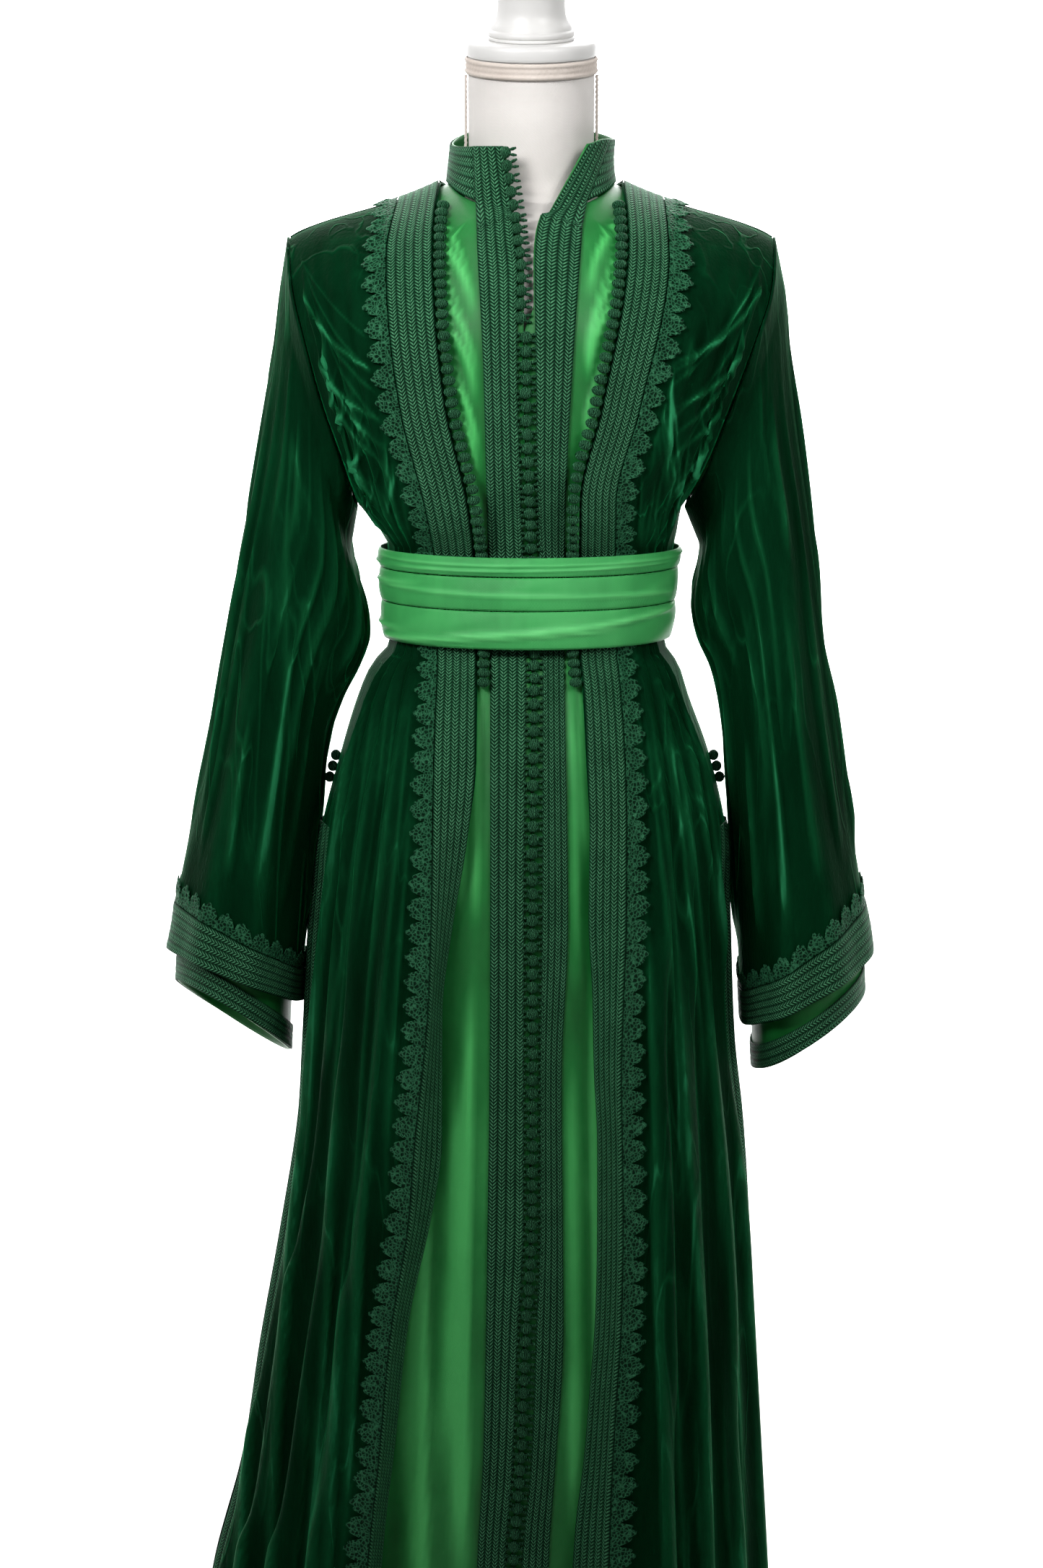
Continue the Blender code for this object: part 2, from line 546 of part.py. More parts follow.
def sheet(name, points, normal, thickness, offset, material, around=False, scallop=False):
    """A sheet of cloth through a grid of points, thickened to one side by a Solidify modifier."""
    rows, columns = points.shape[:2]
    spans = columns if around else columns - 1
    bm = bmesh.new()
    bmesh.ops.create_grid(bm, x_segments=spans, y_segments=rows - 1, size=1.0)
    place = {}
    for vert in bm.verts:
        column = round((vert.co.x + 1) / 2 * spans) % columns
        row = round((vert.co.y + 1) / 2 * (rows - 1))
        vert.co = points[row, column]
        place[vert] = (row, column)
    if scallop:
        # The straight side of the lace needs only every other point.
        spare = [v for v, (row, column) in place.items() if column == 0 and row % 2 == 1 and row < rows - 1]
        bmesh.ops.dissolve_verts(bm, verts=spare)
        place = {v: place[v] for v in bm.verts}
    bm.normal_update()
    facing = sum(face.normal.dot(normal[place[face.verts[0]]]) for face in bm.faces)
    if facing < 0:
        bmesh.ops.reverse_faces(bm, faces=bm.faces[:])
    if around:
        bmesh.ops.remove_doubles(bm, verts=bm.verts[:], dist=1e-6)
    bmesh.ops.triangulate(bm, faces=bm.faces[:], quad_method="FIXED")
    obj = mesh_object(name, bm, material)
    wall = obj.modifiers.new("wall", "SOLIDIFY")
    wall.thickness = thickness
    wall.offset = offset
    return obj


def mesh_object(name, bm, material):
    mesh = bpy.data.meshes.new(name)
    bm.to_mesh(mesh)
    bm.free()
    mesh.shade_smooth()
    obj = bpy.data.objects.new(name, mesh)
    obj.data.materials.append(MATERIALS[material])
    PARTS.objects.link(obj)
    return obj


def solid_object(name, bm, material):
    """Makes the object of a closed mesh, with its faces turned outwards."""
    bmesh.ops.recalc_face_normals(bm, faces=bm.faces[:])
    if bm.calc_volume(signed=True) < 0:
        bmesh.ops.reverse_faces(bm, faces=bm.faces[:])
    return mesh_object(name, bm, material)


def cloth(name, grid, thickness, material, around=False, centre=None):
    """A cloth wall: the grid is its outer face, and the thickness grows behind it."""
    normal = normals_of(grid, around, centre)
    sheet(name, grid, normal, thickness, -1.0, material, around)
    return grid, normal


def skin(name, grid, normal, lift, thickness, material, around=False, scallop=False):
    """A flat trimming made from a panel's points, moved out."""
    return sheet(name, grid + normal * lift, normal, thickness, 1.0, material, around, scallop)


def between(grid, start, end, gap=SEAM):
    """Two columns of points, pulled a little inside two columns of a grid."""
    a, b = grid[:, start], grid[:, end]
    direction = b - a
    direction /= np.linalg.norm(direction, axis=1)[:, None]
    return np.stack([a + direction * gap, b - direction * gap], axis=1)


def refine(points, share_rows):
    """Rows of points read at fractions of the row number."""
    low = np.minimum(np.floor(share_rows).astype(int), len(points) - 2)
    part = (share_rows - low)[:, None, None]
    return points[low] * (1 - part) + points[low + 1] * part


def even_rows(line, pitch, halves):
    """Row numbers that cut a line of points into even steps of about the pitch."""
    lengths = np.linalg.norm(np.diff(line, axis=0), axis=1)
    count = max(1, round(lengths.sum() / pitch)) * halves
    run = np.concatenate(([0], np.cumsum(lengths)))
    return np.interp(np.linspace(0, run[-1], count + 1), run, np.arange(len(line)))


def lace(name, grid, normal, base, tip):
    """Scalloped cord lace between two columns of a panel, with its points at the second."""
    rows = even_rows(grid[:, base], LACE_PITCH, 2)
    pair, turn = refine(grid[:, [base, tip]], rows), refine(normal[:, [base, tip]], rows)
    reach = np.where(np.arange(len(rows)) % 2 == 1, 0.97, 0.50)[:, None]
    outline = pair.copy()
    direction = pair[:, 1] - pair[:, 0]
    outline[:, 0] = pair[:, 0] + direction * 0.05
    outline[:, 1] = pair[:, 0] + direction * reach
    turn[:, 1] = blend(turn[:, 0], turn[:, 1], reach)
    return skin(name, outline, turn, LACE_LIFT, BRAID * 0.8, "lace", scallop=True)


def knots(name, line, normal, across, pitch, width, height, material="braid"):
    """A row of cord knots, wide at each knot and narrow between, joined in one strip."""
    rows = even_rows(line, pitch, 2)
    centre = refine(line[:, None], rows)[:, 0]
    out = refine(normal[:, None], rows)[:, 0]
    aside = refine(across[:, None], rows)[:, 0]
    size = np.where(np.arange(len(rows)) % 2 == 1, 1.0, 0.42)[:, None]
    bm = bmesh.new()
    ring = []
    for k in range(len(rows)):
        half, tall = aside[k] * width / 2 * size[k], out[k] * height * size[k]
        ring.append([bm.verts.new(p) for p in (centre[k] - half, centre[k] + half, centre[k] + tall)])
    for k in range(len(rows) - 1):
        for i in range(3):
            j = (i + 1) % 3
            bm.faces.new((ring[k][i], ring[k][j], ring[k + 1][j], ring[k + 1][i]))
    bm.faces.new(ring[0])
    bm.faces.new(ring[-1])
    return solid_object(name, bm, material)


# The garment's pieces

def build_outer():
    for name, side in SIDES:
        grid, normal = cloth(f"outer_front_{name}", outer_front(name, side), VELVET, "velvet")
        skin(f"front_braid_{name}", between(grid, 0, 1, 0.0006), normal[:, :2], LIFT, BRAID, "braid")
        lace(f"front_lace_{name}", grid, normal, 1, 2)
        strip = slice(len(UPPER_SHARE) + LOWER_Z.index(0.940), None)
        skin(f"slit_braid_front_{name}", between(grid, -2, -1, 0.0006)[strip], normal[strip, -2:],
             SLIT_LIFT, BRAID, "braid")
        # Knots hang past the edge, towards the centre, down to a hand below the sash.
        edge = grid[3:len(UPPER_SHARE) + LOWER_Z.index(1.062) + 1, 0] - np.array([side * FRONT_KNOT_REACH, 0, 0])
        satin = layer_depth("inner", np.abs(edge[:, 0]) - 0.0056, edge[:, 2], side, "front")
        edge[:, 1] = -np.maximum(-edge[:, 1], satin + FRONT_KNOT_RISE)
        front = np.broadcast_to(np.array([0.0, -1.0, 0.0]), edge.shape)
        across = np.broadcast_to(np.array([1.0, 0.0, 0.0]), edge.shape)
        knots(f"front_knots_{name}", edge, front, across, OUTER_KNOT_PITCH, 0.0108, 0.0042)

    grid, normal = cloth("outer_back", back_panel("outer", BACK_STEPS, LOWER_Z), VELVET, "velvet")
    strip = slice(len(UPPER_SHARE) + LOWER_Z.index(0.940), None)
    for name, columns in (("left", (0, 1)), ("right", (-2, -1))):
        pair = between(grid, columns[0], columns[1], 0.0006)
        skin(f"slit_braid_back_{name}", pair[strip], normal[strip][:, list(columns)], SLIT_LIFT, BRAID,
             "braid")
    middle = slice(BACK_STEPS - 3, BACK_STEPS + 4)
    skin("back_neck_braid", grid[:4, middle], normal[:4, middle], LIFT, BRAID, "braid")


def build_outer_sleeves():
    for name, side in SIDES:
        grid = outer_sleeve(name, side)
        centre = grid.mean(axis=1)
        grid, normal = cloth(f"outer_sleeve_{name}", grid, VELVET, "velvet", True, centre)
        band = between(grid.transpose(1, 0, 2), -2, -1, 0.0006).transpose(1, 0, 2)
        skin(f"cuff_braid_{name}", band, normal[-2:], LIFT, BRAID, "braid", around=True)
        cuff_lace(f"cuff_lace_{name}", grid[-2], grid[-3], normal[-2], normal[-3])


def cuff_lace(name, base, tips, base_normal, tip_normal):
    """Lace round a cuff, one scallop to each column of the sleeve, with its points up."""
    columns = len(base)
    ahead = np.roll(base, -1, axis=0)
    up = tips - base
    low = np.stack([base, (base + ahead) / 2], axis=1).reshape(2 * columns, 3)
    ahead_tip = np.roll(tips, -1, axis=0)
    rise = np.stack([up, (tips + ahead_tip) / 2 - (base + ahead) / 2], axis=1).reshape(2 * columns, 3)
    reach = np.where(np.arange(2 * columns) % 2 == 1, 0.97, 0.50)[:, None]
    both = np.stack([base_normal, (base_normal + np.roll(base_normal, -1, axis=0)) / 2], axis=1)
    low_normal = both.reshape(2 * columns, 3)
    both = np.stack([tip_normal, (tip_normal + np.roll(tip_normal, -1, axis=0)) / 2], axis=1)
    high_normal = blend(low_normal, both.reshape(2 * columns, 3), reach)
    outline = np.stack([low + rise * 0.05, low + rise * reach])
    turn = np.stack([low_normal, high_normal])
    skin(name, outline, turn, LIFT + 0.0002, BRAID * 0.8, "lace", around=True)


def build_inner():
    top_row = 4
    for name, side in SIDES:
        grid, normal = cloth(f"inner_front_{name}", inner_front(name, side), SATIN, "satin")
        skin(f"placket_braid_{name}", between(grid, 1, 2, 0.0003)[top_row:], normal[top_row:, 1:3],
             LIFT, BRAID, "braid")
        if name == "right":
            line = grid[top_row:, 0] + normal[top_row:, 0] * LIFT + np.array([0.0020, 0, 0])
            across = np.broadcast_to(np.array([1.0, 0.0, 0.0]), line.shape)
            knots("placket_knots", line, normal[top_row:, 0], across, KNOT_PITCH, 0.0118, 0.0052)
    cloth("inner_back", back_panel("inner", BACK_STEPS, INNER_LOWER_Z), SATIN, "satin")
    for name, side in SIDES:
        grid = inner_sleeve(name, side)
        centre = grid.mean(axis=1)
        grid, normal = cloth(f"inner_sleeve_{name}", grid, SATIN, "satin", True, centre)
        band = between(grid.transpose(1, 0, 2), -2, -1, 0.0006).transpose(1, 0, 2)
        skin(f"inner_cuff_braid_{name}", band, normal[-2:], LIFT, BRAID, "braid", around=True)


def neck_point(turn):
    """A point of the satin's neckline, by the turn round the neck."""
    x = -INNER_NECK_X * math.sin(math.radians(turn))
    side = 1.0 if x > 0 else -1.0
    if abs(turn) <= 90:
        z = float(NECKLINE("z", abs(x)))
        return np.array([x, -float(layer_depth("inner", abs(x), z, side, "front")), z])
    z = float(back_rim("inner", x))
    return np.array([x, float(layer_depth("inner", abs(x), z, side, "back")), z])


def build_collar():
    """A stand collar from the neckline up, open at the front, with braid all over its outside."""
    columns, rows = 21, 3
    grid = np.zeros((rows, columns, 3))
    for k in range(columns):
        share = k / (columns - 1)
        turn_low = blend(COLLAR_ENDS["base"][1], 360 + COLLAR_ENDS["base"][0], share)
        turn_high = blend(COLLAR_ENDS["top"][1], 360 + COLLAR_ENDS["top"][0], share)
        turn_low = turn_low if turn_low <= 180 else turn_low - 360
        turn_high = turn_high if turn_high <= 180 else turn_high - 360
        low = neck_point(turn_low) + np.array([0, 0, 0.0012])
        radius = float(COLLAR("radius", turn_high))
        high = np.array([-radius * math.sin(math.radians(turn_high)),
                         -radius * math.cos(math.radians(turn_high)), float(COLLAR("top", turn_high))])
        for row in range(rows):
            t = row / (rows - 1)
            grid[row, k] = blend(high, low, t)
    grid, normal = cloth("collar", grid, SATIN, "satin")
    inside = grid.copy()
    inside[[0, -1]] = between(grid.transpose(1, 0, 2), 0, -1, 0.0004).transpose(1, 0, 2)
    skin("collar_braid", inside, normal, LIFT, BRAID * 0.8, "braid")


def build_slit_knots():
    """Three round cord knots above each slit, one under the other at the side seam."""
    for name, side in SIDES:
        rings = []
        for z_knot in (SLIT_TOP_Z + 0.014, SLIT_TOP_Z + 0.0235, SLIT_TOP_Z + 0.033):
            for turn in (-70, -28, 28, 70):
                z = z_knot + KNOT_RADIUS * math.sin(math.radians(turn))
                radius = KNOT_RADIUS * math.cos(math.radians(turn))
                x = side * (float(OUTER(name, z)) + 0.866 * KNOT_RADIUS - 0.0005)
                rings.append([(x + radius * math.sin(math.pi * k / 3), -radius * math.cos(math.pi * k / 3), z)
                              for k in range(6)])
        loft(f"slit_knots_{name}", rings, "braid")


def build_sash():
    """Three stretches of one wound satin length, the upper ones lapped over the lower."""
    columns = 24
    for name, low, high in SASH_BANDS:
        grid = []
        for z, bulge in ((high, -0.0006), ((low + high) / 2, 0.0012), (low, -0.0002)):
            ring = []
            for k in range(columns):
                angle = 2 * math.pi * k / columns
                across, ahead = math.sin(angle), math.cos(angle)
                half = float(SASH("right" if across < 0 else "left", z)) + bulge
                deep = float(SASH("front" if ahead > 0 else "back", z)) + bulge
                ring.append((half * across, -deep * ahead, z))
            grid.append(ring)
        grid = np.array(grid)
        cloth(name, grid, 0.0015, "satin", True, grid.mean(axis=1))


# The dress form

def loft(name, rings, material):
    """A closed body lofted through rings of points, with flat ends."""
    bm = bmesh.new()
    loops = [[bm.verts.new(p) for p in ring] for ring in rings]
    for a, b in zip(loops, loops[1:]):
        for i in range(len(a)):
            j = (i + 1) % len(a)
            bm.faces.new((a[i], a[j], b[j], b[i]))
    bm.faces.new(loops[0])
    bm.faces.new(loops[-1])
    return solid_object(name, bm, material)


def build_form_body():
    columns = 20
    rings = []
    for z in (0.780, 0.86, 0.95, 1.045, 1.097, 1.17, 1.21, 1.29, 1.36, 1.40, 1.425, 1.442, 1.455):
        ring = []
        for k in range(columns):
            angle = 2 * math.pi * k / columns
            across, ahead = math.sin(angle), math.cos(angle)
            name, side = SIDES[0] if across >= 0 else SIDES[1]
            face = "front" if ahead >= 0 else "back"
            xs = np.linspace(0, float(FORM(name, z)), 200)
            half = float(xs[SHOULDER("z", xs) - LAYERS["form"][1] > z][-1])
            y = float(layer_depth("form", abs(across) * half, z, side, face))
            ring.append((half * across, -y if face == "front" else y, z))
        rings.append(ring)
    for z, radius in ((1.470, 0.0525), (1.484, 0.0520), (1.510, NECK_RADIUS)):
        rings.append([(radius * math.sin(2 * math.pi * k / columns),
                       -radius * math.cos(2 * math.pi * k / columns), z) for k in range(columns)])
    # The neck's top leans forward with its gimp and cap.
    for below in (GIMP + 0.0030, 0.0):
        ring = []
        for k in range(columns):
            y = -NECK_RADIUS * math.cos(2 * math.pi * k / columns)
            ring.append((NECK_RADIUS * math.sin(2 * math.pi * k / columns),
                         y * math.cos(NECK_LEAN) + below * math.sin(NECK_LEAN),
                         NECK_TOP_Z + y * math.sin(NECK_LEAN) - below * math.cos(NECK_LEAN)))
        rings.append(ring)
    loft("form_body", rings, "form")


def turned(name, profile, material, steps=24, closed=False):
    """A turned piece: its profile, from the top down its outer side, goes round the pole's axis."""
    mesh = bpy.data.meshes.new(name)
    edges = [(i, i + 1) for i in range(len(profile) - 1)]
    if closed:
        edges.append((len(profile) - 1, 0))
    mesh.from_pydata([(radius, 0, z) for radius, z in profile], edges, [])
    obj = bpy.data.objects.new(name, mesh)
    obj.data.materials.append(MATERIALS[material])
    PARTS.objects.link(obj)
    screw = obj.modifiers.new("turn", "SCREW")
    screw.steps = screw.render_steps = steps
    screw.use_smooth_shade = True
    screw.use_merge_vertices = True
    screw.merge_threshold = 0.00005
    return obj


def build_stand():
    """The turned cap and finial, and the gimp, which lean with the neck's top, and the foot."""
    cap = turned("neck_cap", ((0.0, 0.0134), (0.0500, 0.0134), (0.0538, 0.0110), (0.0545, 0.0050),
                              (0.0540, 0.0004), (0.0, 0.0004)), "turned")
    finial = turned("finial", ((0.0, 0.1150), (0.0160, 0.1110), (0.0290, 0.1000), (0.0345, 0.0850),
                               (0.0320, 0.0680), (0.0290, 0.0520), (0.0285, 0.0400), (0.0300, 0.0310),
                               (0.0335, 0.0250), (0.0350, 0.0230), (0.0362, 0.0200), (0.0362, 0.0137),
                               (0.0, 0.0137)), "turned", 20)
    radius = NECK_RADIUS + 0.0012
    gimp = turned("neck_gimp", ((radius, -0.0004), (radius + 0.0012, -0.0004), (radius + 0.0022, -GIMP / 2),
                                (radius + 0.0012, -GIMP), (radius, -GIMP)), "gimp", 24, closed=True)
    for piece in (cap, finial, gimp):
        piece.location.z = NECK_TOP_Z
        piece.rotation_euler.x = NECK_LEAN
    turned("form_pole", ((0.0, 0.7797), (POLE_RADIUS, 0.7797), (POLE_RADIUS, 0.0240), (0.0, 0.0240)), "metal", 16)
    turned("form_base", ((0.0, 0.0237), (0.030, 0.0237), (0.060, 0.0185), (0.144, 0.0145),
                         (FORM_BASE_RADIUS, 0.010), (FORM_BASE_RADIUS, 0.0), (0.0, 0.0)), "metal", 24)
    for name, side in SIDES:
        base = NECK_RADIUS + 0.0004
        strip = np.array([[(side * (base + rest), y, z) for y in (-0.0042, 0.0042)]
                          for z, rest in ((NECK_TOP_Z - GIMP - 0.0012, 0.0), (1.540, 0.0), (1.500, 0.0), (1.487, 0.0006))])
        sheet(f"neck_gimp_{name}", strip, np.broadcast_to((side, 0.0, 0.0), strip.shape), 0.0018, 1.0, "gimp")


def make_materials():
    made = {}
    for name, (colour, roughness) in COLOURS.items():
        material = bpy.data.materials.new(name)
        material.use_nodes = True
        shader = material.node_tree.nodes["Principled BSDF"]
        shader.inputs["Base Color"].default_value = (*colour, 1.0)
        shader.inputs["Roughness"].default_value = roughness
        shader.inputs["Metallic"].default_value = 0.8 if name == "metal" else 0.0
        made[name] = material
    return made


def stand_on_origin():
    """Moves the whole object so that the origin is below the centre of its box."""
    bpy.context.view_layer.update()
    corners = [obj.matrix_world @ v.co for obj in PARTS.objects for v in obj.data.vertices]
    low, high = np.min(corners, axis=0), np.max(corners, axis=0)
    shift = -(low + high) / 2
    for obj in list(PARTS.objects) + list(CUTTERS.objects):
        obj.location.x += shift[0]
        obj.location.y += shift[1]


for old in list(bpy.data.objects):
    bpy.data.objects.remove(old, do_unlink=True)
PARTS = bpy.data.collections.new("moroccan_kaftan")
CUTTERS = bpy.data.collections.new("guides")
for group in (PARTS, CUTTERS):
    bpy.context.scene.collection.children.link(group)
MATERIALS = make_materials()
build_outer()
build_outer_sleeves()
build_inner()
build_collar()
build_slit_knots()
build_sash()
build_form_body()
build_stand()
stand_on_origin()
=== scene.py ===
# %% [markdown]
# # A Moroccan kaftan on a dress form
# The real set is two garments worn over each other: a closed satin caftan inside, and an open velvet
# one over it, held by a wound satin sash. Broad silk braid, cord lace and small knotted buttons edge
# everything. A limbless dress form carries it all.
#
# Every cloth panel here is a fine grid of points on a surface that we write down as a formula. The
# formulas and tables are the ones that the solid model was built from, so each piece lands where it
# should. The difference is how densely we read them, and the creases that we add.

import json
import math

import bmesh
import bpy
import numpy as np
from mathutils import Matrix, Vector

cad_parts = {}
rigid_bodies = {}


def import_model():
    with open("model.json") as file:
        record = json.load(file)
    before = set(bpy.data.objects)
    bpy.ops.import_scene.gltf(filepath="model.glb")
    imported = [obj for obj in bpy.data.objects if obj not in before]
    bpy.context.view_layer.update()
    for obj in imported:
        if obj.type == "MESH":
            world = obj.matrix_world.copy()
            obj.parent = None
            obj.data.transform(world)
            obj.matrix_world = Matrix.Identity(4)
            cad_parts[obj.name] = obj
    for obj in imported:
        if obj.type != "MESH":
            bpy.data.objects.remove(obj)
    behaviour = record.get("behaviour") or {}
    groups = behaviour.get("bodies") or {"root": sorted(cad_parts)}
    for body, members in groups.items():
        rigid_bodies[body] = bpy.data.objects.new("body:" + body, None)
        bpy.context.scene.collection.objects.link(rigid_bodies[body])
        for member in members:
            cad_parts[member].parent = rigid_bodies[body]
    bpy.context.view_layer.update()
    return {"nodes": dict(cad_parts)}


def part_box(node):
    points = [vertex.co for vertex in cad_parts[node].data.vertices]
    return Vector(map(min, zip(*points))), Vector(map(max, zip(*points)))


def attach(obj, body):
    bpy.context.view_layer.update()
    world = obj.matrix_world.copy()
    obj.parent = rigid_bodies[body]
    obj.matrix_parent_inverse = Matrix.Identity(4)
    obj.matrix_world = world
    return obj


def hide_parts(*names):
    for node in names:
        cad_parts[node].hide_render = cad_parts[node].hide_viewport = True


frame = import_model()
pole_low, pole_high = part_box("form_pole")
STAND_X = (pole_low[0] + pole_high[0]) / 2
STAND_Y = (pole_low[1] + pole_high[1]) / 2
SHIFT = np.array([STAND_X, STAND_Y, 0.0])
print("nodes in the frame:", len(frame["nodes"]), "pole's axis at", round(STAND_X, 4), round(STAND_Y, 4))

# %% [markdown]
# ## Sizes and tables
# The garment is measured once, in metres, with the pole's axis at x = 0, y = 0 and the front at -y.
# A maker writes such measures as a table: one row for each height. We read a table between its rows
# with a smooth curve that never overshoots, so a waist stays a waist.

# %% Driving sizes
VELVET = 0.0017
SATIN = 0.0012
BRAID = 0.0018
SEAM = 0.0005
LIFT = 0.0007
LACE_LIFT = 0.0017
SLIT_LIFT = 0.0009
SASH_WALL = 0.0013
WALLS = {"velvet": VELVET, "satin": SATIN, "sash": SASH_WALL}
HEM_Z = 0.025
SLEEVE_GAP = 0.0085
UNDERARM_Z = 1.205
INNER_UNDERARM_Z = 1.235
OUTER_NECK_X = 0.0765
INNER_NECK_X = 0.0700
SHOULDER_DROP = 0.13
LACE_WIDTH = 0.020
LACE_PITCH = 0.0205
SLIT_TOP_Z = 0.958
SLIT_BRAID = 0.020
SLIT_EDGE = 0.010
CUFF_BRAID = 0.038
INNER_CUFF_BRAID = 0.022
KNOT_PITCH = 0.0112
OUTER_KNOT_PITCH = 0.0092
FRONT_KNOT = (0.0112, 0.0066)
CLOSED_KNOT = (0.0098, 0.0062)
OPEN_KNOT = (0.0092, 0.0064)
KNOT_PAINTED_HIGHLIGHT = 0.35
KNOT_RADIUS = 0.0045
NECK_RADIUS = 0.0528
NECK_TOP_Z = 1.5830
NECK_LEAN = math.radians(8.5)
GIMP = 0.0142
OPEN_PLACKET_Z = 1.37
PLEATS = 4
BACK_PLEATS = 6
SIDES = (("left", 1.0), ("right", -1.0))
MERGE = 1e-6
LEAST_AREA = 0.31


# %% A table that is read by a smooth curve
class Table:
    """Rows of named columns, read at any key by a smooth monotone curve through the rows."""

    def __init__(self, columns, *rows):
        data = np.array(sorted(rows), dtype=float)
        self.key = data[:, 0]
        self.columns = dict(zip(columns.split()[1:], data[:, 1:].T))

    def __call__(self, name, key):
        x, y = self.key, self.columns[name]
        step = np.diff(x)
        slope = np.diff(y) / step
        tangent = np.concatenate(([slope[0]], (slope[1:] + slope[:-1]) / 2, [slope[-1]]))
        turning = np.concatenate(([False], slope[1:] * slope[:-1] <= 0, [False]))
        tangent[turning] = 0
        before, after = np.insert(slope, 0, slope[0]), np.append(slope, slope[-1])
        limit = 3 * np.minimum(np.abs(before), np.abs(after))
        tangent = np.sign(tangent) * np.minimum(np.abs(tangent), limit)
        key = np.clip(np.asarray(key, dtype=float), x[0], x[-1])
        i = np.clip(np.searchsorted(x, key) - 1, 0, len(step) - 1)
        t = (key - x[i]) / step[i]
        return ((1 + 2 * t) * (1 - t) ** 2 * y[i] + t * (1 - t) ** 2 * step[i] * tangent[i]
                + t * t * (3 - 2 * t) * y[i + 1] + t * t * (t - 1) * step[i] * tangent[i + 1])


# %% Half widths and depths of the two caftans and of the form
OUTER = Table(
    "z left right front back",
    (0.025, 0.222, 0.312, 0.222, 0.225), (0.26, 0.208, 0.281, 0.213, 0.212),
    (0.36, 0.202, 0.2545, 0.210, 0.205), (0.466, 0.196, 0.2375, 0.206, 0.198),
    (0.57, 0.1905, 0.2185, 0.203, 0.190), (0.673, 0.1835, 0.202, 0.199, 0.182),
    (0.74, 0.176, 0.1975, 0.195, 0.176), (0.854, 0.171, 0.1905, 0.186, 0.164),
    (0.93, 0.1675, 0.1805, 0.172, 0.152), (0.995, 0.1525, 0.1635, 0.150, 0.138),
    (1.045, 0.1345, 0.148, 0.128, 0.118), (1.07, 0.1265, 0.137, 0.112, 0.104),
    (1.092, 0.1135, 0.1205, 0.0965, 0.0935), (1.176, 0.1225, 0.1230, 0.1000, 0.096),
    (1.19, 0.1255, 0.133, 0.112, 0.101), (1.205, 0.128, 0.145, 0.120, 0.104),
    (1.25, 0.168, 0.178, 0.127, 0.109), (1.30, 0.195, 0.206, 0.130, 0.111),
    (1.35, 0.220, 0.225, 0.128, 0.108), (1.40, 0.245, 0.245, 0.115, 0.098),
    (1.48, 0.260, 0.260, 0.092, 0.086))
INNER = Table(
    "z left right front back",
    (0.025, 0.200, 0.285, 0.160, 0.195), (0.26, 0.190, 0.255, 0.153, 0.185),
    (0.36, 0.185, 0.236, 0.150, 0.180), (0.57, 0.175, 0.202, 0.145, 0.168),
    (0.74, 0.162, 0.183, 0.141, 0.157), (0.854, 0.158, 0.177, 0.138, 0.148),
    (0.93, 0.155, 0.167, 0.135, 0.140), (0.995, 0.142, 0.152, 0.128, 0.128),
    (1.045, 0.1265, 0.139, 0.114, 0.109), (1.07, 0.1195, 0.1295, 0.1035, 0.098),
    (1.092, 0.1080, 0.1145, 0.0905, 0.0880), (1.176, 0.1150, 0.1165, 0.0940, 0.0905),
    (1.235, 0.1245, 0.1455, 0.1180, 0.1000), (1.25, 0.150, 0.161, 0.1215, 0.1020),
    (1.30, 0.184, 0.194, 0.1240, 0.1045), (1.35, 0.214, 0.219, 0.1225, 0.1025),
    (1.40, 0.239, 0.239, 0.1095, 0.0925), (1.48, 0.254, 0.254, 0.0865, 0.0805))
FORM = Table(
    "z left right front back",
    (0.78, 0.138, 0.138, 0.108, 0.112), (0.86, 0.143, 0.143, 0.118, 0.126),
    (0.95, 0.141, 0.141, 0.120, 0.124), (1.045, 0.115, 0.116, 0.096, 0.092),
    (1.10, 0.101, 0.103, 0.083, 0.081), (1.17, 0.107, 0.107, 0.086, 0.082),
    (1.21, 0.113, 0.118, 0.098, 0.086), (1.30, 0.138, 0.138, 0.113, 0.093),
    (1.38, 0.168, 0.168, 0.107, 0.088), (1.42, 0.192, 0.192, 0.092, 0.076),
    (1.48, 0.240, 0.240, 0.070, 0.057))
SHOULDER = Table(
    "x z",
    (0.0, 1.510), (0.03, 1.504), (0.05, 1.494), (0.0735, 1.480), (0.107, 1.4655),
    (0.124, 1.460), (0.194, 1.4375), (0.207, 1.430), (0.26, 1.400))
OUTER_ARM = Table(
    "z left right",
    (1.205, 0.128, 0.145), (1.25, 0.148, 0.158), (1.297, 0.166, 0.1735),
    (1.345, 0.184, 0.1865), (1.39, 0.199, 0.198), (1.4335, 0.203, 0.203))
INNER_ARM = Table(
    "z left right",
    (1.235, 0.1245, 0.1455), (1.26, 0.141, 0.156), (1.297, 0.160, 0.1675),
    (1.345, 0.178, 0.1805), (1.39, 0.192, 0.191), (1.4305, 0.1965, 0.1965))
print("tables of the bodies read at the waist:", float(OUTER("left", 1.12)), float(INNER("left", 1.12)))

